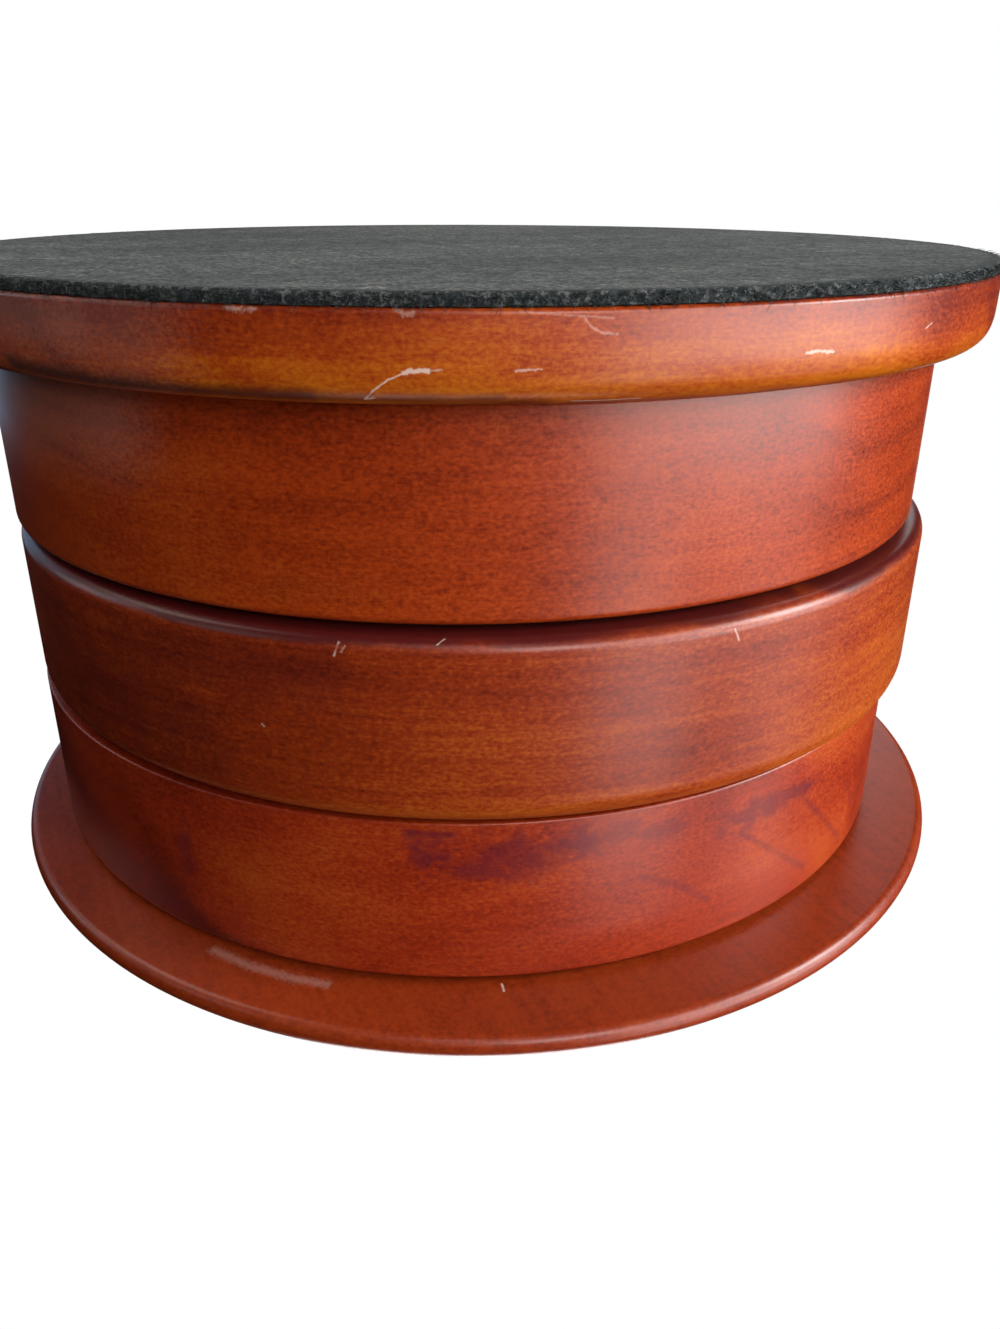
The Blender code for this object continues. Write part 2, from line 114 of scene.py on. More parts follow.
class Value:
    """An output socket, on which sums and products add Math nodes."""

    def __init__(self, graph: "Graph", socket: bpy.types.NodeSocket) -> None:
        """Keep the graph and the socket.

        Args:
            graph: The graph that the socket belongs to.
            socket: The output that this value stands for.
        """
        self.graph = graph
        self.socket = socket

    def math(self, operation: str, *terms: Feed) -> "Value":
        """Return a Math node's result for an operation on these terms."""
        return self.graph.node("ShaderNodeMath", {"operation": operation}, terms)

    def __add__(self, other: Feed) -> "Value":
        """Return the sum."""
        return self.math("ADD", self, other)

    def __radd__(self, other: Feed) -> "Value":
        """Return the sum with a number on the left."""
        return self.math("ADD", other, self)

    def __sub__(self, other: Feed) -> "Value":
        """Return the difference."""
        return self.math("SUBTRACT", self, other)

    def __rsub__(self, other: Feed) -> "Value":
        """Return the difference from a number on the left."""
        return self.math("SUBTRACT", other, self)

    def __mul__(self, other: Feed) -> "Value":
        """Return the product."""
        return self.math("MULTIPLY", self, other)

    def __rmul__(self, other: Feed) -> "Value":
        """Return the product with a number on the left."""
        return self.math("MULTIPLY", other, self)

    def __truediv__(self, other: Feed) -> "Value":
        """Return the quotient."""
        return self.math("DIVIDE", self, other)

    def __rtruediv__(self, other: Feed) -> "Value":
        """Return the quotient of a number on the left."""
        return self.math("DIVIDE", other, self)

    def __pow__(self, other: Feed) -> "Value":
        """Return the power."""
        return self.math("POWER", self, other)

    def clipped(self) -> "Value":
        """Return the value kept between 0 and 1."""
        return self.graph.node("ShaderNodeClamp", {}, {"Value": self})

    def largest(self, other: Feed) -> "Value":
        """Return the larger of two values."""
        return self.math("MAXIMUM", self, other)

    def step(self, low: float, high: float) -> "Value":
        """Return 0 below low and 1 above high, with a smooth rise between.

        Args:
            low: Where the rise starts. It may be above high, for a fall.
            high: Where the rise ends.

        Returns:
            The smooth step.
        """
        turned_round = low > high
        settings = {"interpolation_type": "SMOOTHSTEP"}
        feeds = {"Value": self, "From Min": min(low, high), "From Max": max(low, high)}
        rise = self.graph.node("ShaderNodeMapRange", settings, feeds)
        return 1.0 - rise if turned_round else rise


class Graph:
    """The node tree of a material or of the world."""

    def __init__(self, name: str, world: Optional[bpy.types.World] = None) -> None:
        """Clear the world's tree, or make an empty material.

        Args:
            name: The material's name.
            world: The world, if the tree is its own.
        """
        self.material = None if world else bpy.data.materials.new(name)
        owner = world or self.material
        owner.use_nodes = True
        self.tree = owner.node_tree
        self.tree.nodes.clear()

    def node(self, kind: str, settings: Mapping[str, object],
             inputs: Union[Mapping[Union[str, int], Feed], Sequence[Feed]] = (),
             output: Union[str, int] = 0) -> Optional[Value]:
        """Add any node.

        Args:
            kind: The node's type.
            settings: Attributes that are set first. "stops" holds a ramp's (place, colour) pairs.
            inputs: Values or links for its sockets, by name, by index or in order.
            output: The socket to return.

        Returns:
            The chosen output, or None for a node that has none.
        """
        made = self.tree.nodes.new(kind)
        for key, value in settings.items():
            if key == "stops":
                self.set_stops(made.color_ramp, value)
            else:
                setattr(made, key, value)
        pairs = inputs.items() if isinstance(inputs, Mapping) else enumerate(inputs)
        for key, value in pairs:
            if isinstance(value, Value):
                self.tree.links.new(value.socket, made.inputs[key])
            else:
                made.inputs[key].default_value = value
        return Value(self, made.outputs[output]) if len(made.outputs) else None

    @staticmethod
    def set_stops(ramp: bpy.types.ColorRamp, stops: Sequence[tuple[float, Colour]]) -> None:
        """Set a colour ramp's stops, of which there are two or more."""
        while len(ramp.elements) < len(stops):
            ramp.elements.new(1.0)
        for element, (place, colour) in zip(ramp.elements, stops):
            element.position = place
            element.color = (*colour, 1.0)

    def place(self) -> Value:
        """Return the point on the piece, in metres, in the box's own frame."""
        return self.node("ShaderNodeTexCoord", {}, output="Object")

    def vector(self, operation: str, *terms: Feed, output: Union[str, int] = 0) -> Value:
        """Return a Vector Math node's result."""
        return self.node("ShaderNodeVectorMath", {"operation": operation}, terms, output)

    def parts(self, point: Value) -> tuple[Value, Value, Value]:
        """Return a point's three coordinates."""
        split = self.node("ShaderNodeSeparateXYZ", {}, {"Vector": point})
        sockets = split.socket.node.outputs
        return tuple(Value(self, sockets[axis]) for axis in range(3))

    def cloud(self, point: Value, stretch: Point3, detail: float = 2.0, rough: float = 0.5,
              shift: float = 0.0, swirl: float = 0.0) -> Value:
        """Return a noise, centred on 0.5.

        Args:
            point: Where the noise is read.
            stretch: Its repeats in a metre along each axis.
            detail: How many finer layers it has.
            rough: How strong the finer layers are.
            shift: Moves the noise, so that pieces differ.
            swirl: How much it is distorted.

        Returns:
            The noise's value.
        """
        scaled = self.vector("MULTIPLY_ADD", point, stretch, (shift, -shift, 2.0 * shift))
        feeds = {"Vector": scaled, "Scale": 1.0, "Detail": detail, "Roughness": rough,
                 "Distortion": swirl}
        return self.node("ShaderNodeTexNoise", {}, feeds)

    def blend(self, factor: Feed, first: Feed, second: Feed) -> Value:
        """Return two colours mixed by a factor."""
        settings = {"data_type": "RGBA", "blend_type": "MIX"}
        colours = [(*c, 1.0) if not isinstance(c, Value) else c for c in (first, second)]
        feeds = {0: factor, 6: colours[0], 7: colours[1]}
        return self.node("ShaderNodeMix", settings, feeds, 2)

    def bump(self, height: Feed, depth: float, strength: float = 1.0) -> Value:
        """Return a normal raised by a height of 0 to 1 times a depth in metres."""
        feeds = {"Strength": strength, "Distance": depth, "Height": height}
        return self.node("ShaderNodeBump", {}, feeds)

    def surface(self, feeds: Mapping[str, Feed]) -> bpy.types.Material:
        """Close the graph with a Principled shader.

        Args:
            feeds: Values and links for the shader's sockets.

        Returns:
            The finished material.
        """
        shader = self.node("ShaderNodeBsdfPrincipled", {}, feeds)
        self.node("ShaderNodeOutputMaterial", {}, {"Surface": shader})
        return self.material

    def near_segment(self, point: Value, start: Vector, end: Vector) -> Value:
        """Return the distance from a point to a straight segment, in metres."""
        run = end - start
        offset = self.vector("SUBTRACT", point, tuple(start))
        along = self.vector("DOT_PRODUCT", offset, tuple(run), output="Value")
        share = (along / max(run.length_squared, 1e-12)).clipped()
        step = self.vector("SCALE", tuple(run))
        self.tree.links.new(share.socket, step.socket.node.inputs["Scale"])
        return self.vector("DISTANCE", offset, step, output="Value")


@dataclass(frozen=True)
class Mark:
    """A scratch, chip, stain patch, painted sheen, painted glint or painted shade: a run of
    straight segments on a piece's surface.

    Attributes:
        points: Its points in the box's frame.
        width: Its half width in metres.
        strength: How far it hides the stain.
        soft: The share of its half width over which it fades.
        ragged: How broken its edge is.
    """

    points: tuple[Vector, ...]
    width: float
    strength: float
    soft: float
    ragged: float


@dataclass(frozen=True)
class StainedWood:
    """Red-brown wood under a stain and a satin varnish; on some pieces it also paints light and
    shade.

    Attributes:
        name: The finish's name.
        deep: The stain where it is deepest.
        main: The stain as most of the surface shows it.
        thin: The stain where it is thin.
        plum: The purple-brown of the patches that took more stain, and of painted shade.
        seed: Moves the grain, so that pieces differ.
        streak: Repeats in a metre of the long streaks, along X, Y and Z.
        streaks: How strongly the long streaks show.
        blotch: How strongly the stain varies from place to place.
        patches: How much of the surface the plum patches take, from 0 to 1.
        figure: How strongly the growth rings show.
        lean: The direction in which the growth rings follow each other.
        rough: Mean roughness of the varnish.
        fade: How the tone changes from side to side, for each metre along X, Y and Z; on the trays
            this is painted light and shade, on the plinth it makes the tone lighter with height.
        base: Height at which the fade along Z changes nothing.
        painted_shade_bands: (height, reach) pairs where the colour turns plum: painted shade along
            an edge or ledge.
        painted_light_bands: (height, reach) pairs where the tone is raised towards the thin stain:
            painted light on an edge turned away from the lamps.
        stains_and_shade: Plum stain patches and lines, some of which are painted shade.
        marks: Scratches and chips, and pale painted sheen and glints.
    """

    name: str
    deep: Colour = (0.105, 0.0070, 0.0014)
    main: Colour = (0.280, 0.0300, 0.0026)
    thin: Colour = (0.420, 0.0750, 0.0060)
    plum: Colour = (0.120, 0.0090, 0.0090)
    seed: float = 0.0
    streak: Point3 = (22.0, 22.0, 520.0)
    streaks: float = 0.5
    blotch: float = 1.0
    patches: float = 0.2
    figure: float = 0.2
    lean: Point3 = (0.0, 0.0, 1.0)
    rough: float = 0.34
    fade: Point3 = (0.0, 0.0, 0.0)
    base: float = 0.0
    painted_shade_bands: tuple[Point2, ...] = ()
    painted_light_bands: tuple[Point2, ...] = ()
    stains_and_shade: tuple[Mark, ...] = ()
    marks: tuple[Mark, ...] = ()

    def make(self) -> bpy.types.Material:
        """Return the finish as a material."""
        graph = Graph(self.name)
        place = graph.place()
        cloudy = graph.cloud(place, (14.0, 14.0, 24.0), 3.0, 0.55, self.seed, 0.5)
        streaks = graph.cloud(place, self.streak, 4.0, 0.62, self.seed + 3.0, 0.25)
        mottle = graph.cloud(place, (1100.0, 1100.0, 1700.0), 2.0, 0.65, self.seed + 7.0)
        flecks = graph.cloud(place, (420.0, 420.0, 2400.0), 1.0, 0.5, self.seed + 11.0)
        tone = 0.5 + (cloudy - 0.5) * self.blotch + (streaks - 0.5) * self.streaks
        tone = tone + (mottle - 0.5) * 0.72 + (flecks - 0.5) * 0.24
        # The tone slopes along fade: on the trays this is painted light and shade across the
        # camera's view; on the plinth it is lighter with height.
        offset = graph.vector("SUBTRACT", place, (0.0, 0.0, self.base))
        tone = tone + graph.vector("DOT_PRODUCT", offset, self.fade, output="Value")
        tone = tone - self.growth_rings(graph, place) * self.figure
        _, _, level = graph.parts(place)
        # Painted light: near these heights the tone is raised, lighting an edge that faces away
        # from the lamps.
        for height, reach in self.painted_light_bands:
            near = (level - height).math("ABSOLUTE", level - height) / reach
            tone = tone + near.step(1.0, 0.0) * 0.28
        stops = [(0.16, self.deep), (0.50, self.main), (0.88, self.thin)]
        colour = graph.node("ShaderNodeValToRGB", {"stops": stops}, {"Fac": tone})
        puddles = graph.cloud(place, (20.0, 20.0, 34.0), 3.0, 0.6, self.seed + 41.0, 0.9)
        edge = 0.72 - self.patches * 0.34
        plum_stain_and_shade = (puddles + (mottle - 0.5) * 0.12).step(edge, edge + 0.13) * 0.85
        # Painted shade: near these heights the colour turns plum, darkening an edge or ledge that
        # lies in shade.
        for height, reach in self.painted_shade_bands:
            near = 1.0 - (level - height).math("ABSOLUTE", level - height) / reach
            band_shade = (near + (puddles - 0.5) * 3.0).step(0.0, 0.9) * 0.9
            plum_stain_and_shade = plum_stain_and_shade.largest(band_shade * near.step(-0.6, 0.1))
        rough_edge = graph.cloud(place, (150.0, 150.0, 190.0), 4.0, 0.6, self.seed + 51.0, 0.5)
        # Plum stain patches and lines; some of them are painted shade and painted shadow.
        plum_stain_and_shade = plum_stain_and_shade.largest(self.near_marks(graph, place, self.stains_and_shade, rough_edge))
        colour = graph.blend(plum_stain_and_shade, colour, self.plum)
        pores = flecks.step(0.34, 0.24)
        colour = graph.blend(pores * 0.25, colour, self.deep)
        ragged = graph.cloud(place, (1600.0, 1600.0, 1600.0), 2.0, 0.6, self.seed + 31.0)
        # Pale marks: scratches and chips, and painted sheen and glints.
        wear_and_sheen = self.near_marks(graph, place, self.marks, ragged)
        colour = graph.blend(wear_and_sheen, colour, (0.66, 0.50, 0.42))
        rough = self.rough + (mottle - 0.5) * 0.16 + (cloudy - 0.5) * 0.12 + wear_and_sheen * 0.3
        height = mottle * 0.6 + flecks * 0.4 - wear_and_sheen * 1.4
        feeds = {"Base Color": colour, "Roughness": rough, "IOR": 1.48,
                 "Normal": graph.bump(height, 0.045 * MM, 0.30)}
        return graph.surface(feeds)

    def growth_rings(self, graph: Graph, place: Value) -> Value:
        """Return the dark lines between growth rings, as contours of a slow noise."""
        along = graph.vector("DOT_PRODUCT", place, self.lean, output="Value")
        bend = graph.cloud(place, (9.0, 9.0, 16.0), 1.0, 0.5, self.seed + 17.0, 0.3)
        phase = along * 420.0 + bend * 30.0
        lines = (phase.math("SINE", phase) * 0.5 + 0.5) ** 5.0
        shown = graph.cloud(place, (13.0, 13.0, 20.0), 1.0, 0.5, self.seed + 23.0)
        return lines * shown.step(0.40, 0.62)

    def near_marks(self, graph: Graph, place: Value, marks: Sequence[Mark],
                   ragged: Value) -> Value:
        """Return how far marks show, from 0 to 1.

        Args:
            graph: Where the nodes go.
            place: The point shaded.
            marks: The scratches, chips and stain patches, painted shade and painted sheen.
            ragged: The noise that breaks their edges.

        Returns:
            The strength of the strongest mark there.
        """
        shown: Optional[Value] = None
        for mark in marks:
            for start, end in zip(mark.points, mark.points[1:]):
                far = graph.near_segment(place, start, end) / mark.width
                broken = far + (ragged - 0.5) * mark.ragged
                strength = broken.step(1.0, 1.0 - mark.soft) * mark.strength
                shown = strength if shown is None else shown.largest(strength)
        return ragged * 0.0 if shown is None else shown


@dataclass(frozen=True)
class Felt:
    """Pressed wool felt with a short nap.

    Attributes:
        name: The finish's name.
        deep: The colour between fibres.
        main: The colour of the fibres.
        lint: The colour of pale lint on it.
        radius: The disc's radius, near which the cut edge looks darker.
    """

    name: str
    deep: Colour = (0.014, 0.018, 0.019)
    main: Colour = (0.116, 0.121, 0.118)
    lint: Colour = (0.400, 0.375, 0.335)
    radius: float = 109.2 * MM

    def make(self) -> bpy.types.Material:
        """Return the finish as a material."""
        graph = Graph(self.name)
        place = graph.place()
        nap = graph.cloud(place, (1000.0, 1000.0, 1000.0), 3.0, 0.75, 2.0, 0.3)
        clumps = graph.cloud(place, (260.0, 260.0, 260.0), 3.0, 0.65, 5.0, 0.6)
        brushed = graph.cloud(place, (30.0, 12.0, 30.0), 3.0, 0.55, 9.0, 0.4)
        tone = (nap * 0.55 + clumps * 0.28 + brushed * 0.17).step(0.38, 0.62)
        colour = graph.blend(tone, self.deep, self.main)
        dusty = brushed.step(0.40, 0.62) * 0.75 + 0.10
        lint = (nap * 0.7 + clumps * 0.3).step(0.52, 0.68) * dusty * 0.8
        colour = graph.blend(lint, colour, self.lint)
        flat = graph.vector("MULTIPLY", place, (1.0, 1.0, 0.0))
        out = graph.vector("LENGTH", flat, output="Value") + (clumps - 0.5) * 3.0 * MM
        frayed = out.step(self.radius - 3.4 * MM, self.radius - 1.6 * MM)
        speckled = graph.blend(nap.step(0.48, 0.66) * 0.75, self.deep, self.main)
        colour = graph.blend(frayed * 0.9, colour, speckled)
        feeds = {"Base Color": colour, "Roughness": 0.95, "Specular IOR Level": 0.1,
                 "Sheen Weight": 0.06, "Sheen Roughness": 0.5,
                 "Sheen Tint": (0.60, 0.64, 0.63, 1.0),
                 "Normal": graph.bump(nap * 0.6 + clumps * 0.4, 0.7 * MM, 0.9)}
        return graph.surface(feeds)


@dataclass(frozen=True)
class Velvet:
    """Short-piled velvet over card or foam.

    Attributes:
        name: The finish's name.
        colour: The pile's colour.
    """

    name: str
    colour: Colour = (0.030, 0.033, 0.038)

    def make(self) -> bpy.types.Material:
        """Return the finish as a material."""
        graph = Graph(self.name)
        place = graph.place()
        pile = graph.cloud(place, (2600.0, 2600.0, 2600.0), 2.0, 0.6, 1.0)
        strokes = graph.cloud(place, (60.0, 22.0, 60.0), 3.0, 0.6, 4.0, 0.8)
        tone = (strokes * 0.7 + pile * 0.3).step(0.30, 0.72)
        deep = tuple(part * 0.55 for part in self.colour)
        high = tuple(part * 1.9 for part in self.colour)
        colour = graph.blend(tone, deep, high)
        feeds = {"Base Color": colour, "Roughness": 0.9, "Specular IOR Level": 0.1,
                 "Sheen Weight": 0.7, "Sheen Roughness": 0.35,
                 "Sheen Tint": (0.62, 0.66, 0.72, 1.0),
                 "Normal": graph.bump(pile, 0.12 * MM, 0.6)}
        return graph.surface(feeds)


@dataclass(frozen=True)
class Metal:
    """Drawn or turned metal.

    Attributes:
        name: The finish's name.
        colour: The metal's colour.
        rough: Its mean roughness.
        grain: Repeats in a metre of the drawing marks.
    """

    name: str
    colour: Colour
    rough: float = 0.3
    grain: Point3 = (3000.0, 3000.0, 200.0)

    def make(self) -> bpy.types.Material:
        """Return the finish as a material."""
        graph = Graph(self.name)
        place = graph.place()
        drawn = graph.cloud(place, self.grain, 3.0, 0.6)
        dull = graph.cloud(place, (120.0, 120.0, 120.0), 3.0, 0.6, 6.0)
        dim = tuple(part * 0.62 for part in self.colour)
        colour = graph.blend(dull.step(0.35, 0.75) * 0.6, self.colour, dim)
        rough = self.rough + (drawn - 0.5) * 0.16 + (dull - 0.5) * 0.14
        feeds = {"Base Color": colour, "Metallic": 1.0, "Roughness": rough,
                 "Normal": graph.bump(drawn, 0.02 * MM, 0.5)}
        return graph.surface(feeds)


@dataclass(frozen=True)
class Nylon:
    """Natural nylon of the bushes and spacers."""

    name: str

    def make(self) -> bpy.types.Material:
        """Return the finish as a material."""
        graph = Graph(self.name)
        place = graph.place()
        turned_marks = graph.cloud(place, (200.0, 200.0, 5000.0), 2.0, 0.5)
        grime = graph.cloud(place, (300.0, 300.0, 300.0), 3.0, 0.6, 4.0)
        colour = graph.blend(grime.step(0.45, 0.8) * 0.5, (0.72, 0.70, 0.64), (0.42, 0.38, 0.32))
        feeds = {"Base Color": colour, "Roughness": 0.42 + (turned_marks - 0.5) * 0.2,
                 "Normal": graph.bump(turned_marks, 0.02 * MM, 0.4)}
        return graph.surface(feeds)


@dataclass(frozen=True)
class Plywood:
    """Stained plywood of the tray floors."""

    name: str

    def make(self) -> bpy.types.Material:
        """Return the finish as a material."""
        graph = Graph(self.name)
        place = graph.place()
        grain = graph.cloud(place, (26.0, 420.0, 420.0), 4.0, 0.6, 2.0, 0.5)
        patches = graph.cloud(place, (14.0, 22.0, 14.0), 2.0, 0.5, 8.0)
        tone = grain * 0.65 + patches * 0.35
        stops = [(0.30, (0.100, 0.026, 0.012)), (0.70, (0.260, 0.085, 0.034))]
        colour = graph.node("ShaderNodeValToRGB", {"stops": stops}, {"Fac": tone})
        feeds = {"Base Color": colour, "Roughness": 0.55 + (grain - 0.5) * 0.2,
                 "Normal": graph.bump(grain, 0.06 * MM, 0.5)}
        return graph.surface(feeds)


@dataclass(frozen=True)
class MirrorGlass:
    """Silvered glass with a few dust marks."""

    name: str

    def make(self) -> bpy.types.Material:
        """Return the finish as a material."""
        graph = Graph(self.name)
        place = graph.place()
        dust = graph.cloud(place, (500.0, 500.0, 500.0), 4.0, 0.7, 3.0).step(0.66, 0.80)
        colour = graph.blend(dust * 0.4, (0.86, 0.88, 0.88), (0.60, 0.60, 0.58))
        feeds = {"Base Color": colour, "Metallic": 1.0, "Roughness": dust * 0.2}
        return graph.surface(feeds)


@dataclass(frozen=True)
class Corner:
    """A corner of a turned outline.

    Attributes:
        radius: Distance from the axis.
        height: Height above the felt's underside.
        round: Radius of the corner's rounding, or 0 for a sharp one.
    """

    radius: float
    height: float
    round: float = 0.0


def arc(centre: Point2, radii: Point2, start: float, end: float, steps: int) -> list[Corner]:
    """Return the sharp corners along an elliptical arc, both ends included."""
    corners = []
    for step in range(steps + 1):
        angle = start + (end - start) * step / steps
        corners.append(Corner(centre[0] + radii[0] * math.cos(angle),
                              centre[1] + radii[1] * math.sin(angle)))
    return corners


def filleted(corners: Sequence[Corner], steps: int = 6) -> list[Point2]:
    """Return an outline's points with its corners rounded.

    Args:
        corners: The outline, up its outer side. Ends at radius 0 stay as they are.
        steps: Pieces of each rounding.

    Returns:
        The (radius, height) points.
    """
    points: list[Point2] = []
    count = len(corners)
    for index, corner in enumerate(corners):
        here = Vector((corner.radius, corner.height))
        if corner.round <= 0:
            points.append(tuple(here))
            continue
        before = corners[index - 1]
        after = corners[(index + 1) % count]
        back = (Vector((before.radius, before.height)) - here).normalized()
        ahead = (Vector((after.radius, after.height)) - here).normalized()
        half = back.angle(ahead) / 2
        middle = here + (back + ahead).normalized() * corner.round / math.sin(half)
        first = here + back * corner.round / math.tan(half) - middle
        last = here + ahead * corner.round / math.tan(half) - middle
        sweep = first.angle_signed(last)
        for step in range(steps + 1):
            turn = Matrix.Rotation(-sweep * step / steps, 2)
            points.append(tuple(middle + turn @ first))
    return points


def object_of(name: str, corners: Sequence[Sequence[float]],
              faces: Sequence[Sequence[int]], sharp: float = SHARP_DEGREES) -> bpy.types.Object:
    """Make a smooth-shaded mesh object.

    Args:
        name: The piece's name.
        corners: Its vertices, in metres.
        faces: Its faces, as vertex numbers.
        sharp: Edges that turn by more than this many degrees stay sharp.

    Returns:
        The linked object.
    """
    mesh = bpy.data.meshes.new(name)
    mesh.from_pydata([tuple(c) for c in corners], [], [tuple(f) for f in faces])
    mesh.validate()
    mesh.update()
    mesh.shade_smooth()
    mesh.set_sharp_from_angle(angle=math.radians(sharp))
    piece = bpy.data.objects.new(name, mesh)
    bpy.context.scene.collection.objects.link(piece)
    return piece


def turned(name: str, outline: Sequence[Point2], centre: Point2 = (0.0, 0.0),
           steps: int = 240, reach: Optional[Callable[[float, float, float], float]] = None,
           ) -> bpy.types.Object:
    """Turn an outline about a vertical axis.

    Args:
        name: The piece's name.
        outline: (radius, height) points up the outer side, closed, or from radius 0 to 0.
        centre: The axis in plan.
        steps: Facets round the axis.
        reach: Gives a radius for a radius, a height and an angle, where it isn't round.

    Returns:
        The piece.
    """
    corners: list[Point3] = []
    rings: list[list[int]] = []
    for radius, height in outline:
        if radius < ON_AXIS:
            rings.append([len(corners)] * steps)
            corners.append((centre[0], centre[1], height))
            continue
        ring = []
        for step in range(steps):
            angle = FULL_TURN * step / steps
            out = reach(radius, height, angle) if reach else radius
            ring.append(len(corners))
            corners.append((centre[0] + out * math.cos(angle),
                            centre[1] + out * math.sin(angle), height))
        rings.append(ring)
    pairs = list(zip(rings, rings[1:]))
    if outline[0][0] >= ON_AXIS:
        pairs.append((rings[-1], rings[0]))
    faces = []
    for low, high in pairs:
        for step in range(steps):
            ahead = (step + 1) % steps
            face = (low[step], low[ahead], high[ahead], high[step])
            faces.append(tuple(dict.fromkeys(face)))
    return object_of(name, corners, faces)


def lofted(name: str, rows: Sequence[Sequence[Point3]]) -> bpy.types.Object:
    """Join closed loops of points into a skin, with a flat face at either end.

    Args:
        name: The piece's name.
        rows: Loops of as many points each.

    Returns:
        The piece.
    """
    width = len(rows[0])
    corners = [point for row in rows for point in row]
    faces: list[tuple[int, ...]] = []
    for row in range(len(rows) - 1):
        for column in range(width):
            ahead = (column + 1) % width
            faces.append((row * width + column, row * width + ahead,
                          (row + 1) * width + ahead, (row + 1) * width + column))
    last = (len(rows) - 1) * width
    faces.append(tuple(range(width))[::-1])
    faces.append(tuple(range(last, last + width)))
    return object_of(name, corners, faces)


def cut(target: bpy.types.Object, cutter: bpy.types.Object) -> None:
    """Cut one shape out of another, and remove the cutter."""
    step = target.modifiers.new("cut", "BOOLEAN")
    step.operation = "DIFFERENCE"
    step.solver = "EXACT"
    step.object = cutter
    bpy.context.view_layer.update()
    graph = bpy.context.evaluated_depsgraph_get()
    shaped = bpy.data.meshes.new_from_object(target.evaluated_get(graph))
    target.modifiers.clear()
    target.data = shaped
    bpy.data.objects.remove(cutter)
    shaped.shade_smooth()
    shaped.set_sharp_from_angle(angle=math.radians(SHARP_DEGREES))


@dataclass
class Finishes:
    """Every material, made once."""

    felt: bpy.types.Material = field(default_factory=lambda: Felt("charcoal_felt").make())
    velvet: bpy.types.Material = field(default_factory=lambda: Velvet("lining_velvet").make())
    steel: bpy.types.Material = field(
        default_factory=lambda: Metal("plated_steel", (0.62, 0.62, 0.60), 0.28).make())
    brass: bpy.types.Material = field(
        default_factory=lambda: Metal("satin_brass", (0.72, 0.50, 0.22), 0.26,
                                      (2500.0, 400.0, 2500.0)).make())
    nylon: bpy.types.Material = field(default_factory=lambda: Nylon("nylon").make())
    plywood: bpy.types.Material = field(
        default_factory=lambda: Plywood("stained_plywood").make())
    mirror: bpy.types.Material = field(
        default_factory=lambda: MirrorGlass("mirror_glass").make())


def finish_piece(piece: bpy.types.Object, material: bpy.types.Material, body: Body,
                 nodes: Sequence[str] = ()) -> bpy.types.Object:
    """Dress a piece, hang it on its body and hide the CAD nodes that it stands for.

    Args:
        piece: The piece, in place.
        material: Its material.
        body: The body that carries it.
        nodes: The CAD nodes that it stands for.

    Returns:
        The piece.
    """
    piece.data.materials.clear()
    piece.data.materials.append(material)
    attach(piece, body.value)
    if nodes:
        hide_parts(*nodes)
    LOG.info("%s rides on %s", piece.name, body.value)
    return piece


@dataclass
class Setting:
    """Where the round pieces are, read from the frame.

    Attributes:
        rod: The rod's axis in plan.
        tray_radius: The trays' outer radius.
        top: The lid's upper face.
    """

    rod: Vector
    tray_radius: float
    top: float

    @classmethod
    def read(cls, frame: dict) -> "Setting":
        """Read the setting from the loaded frame."""
        pivot = frame["joints"][0]["pos_m"]
        low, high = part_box("lower_tray_wall")
        return cls(Vector(pivot[:2]), (high.x - low.x) / 2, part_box("lid_panel")[1].z)

    def turn_of(self, node: str) -> Matrix:
        """Return the move from a closed piece's place to where a node's piece is at rest."""
        low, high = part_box(node)
        middle = (low + high) / 2
        angle = math.atan2(middle.x - self.rod.x, self.rod.y - middle.y)
        axis = Vector((self.rod.x, self.rod.y, 0.0))
        return Matrix.Translation(axis) @ Matrix.Rotation(angle, 4, "Z") @ Matrix.Translation(-axis)


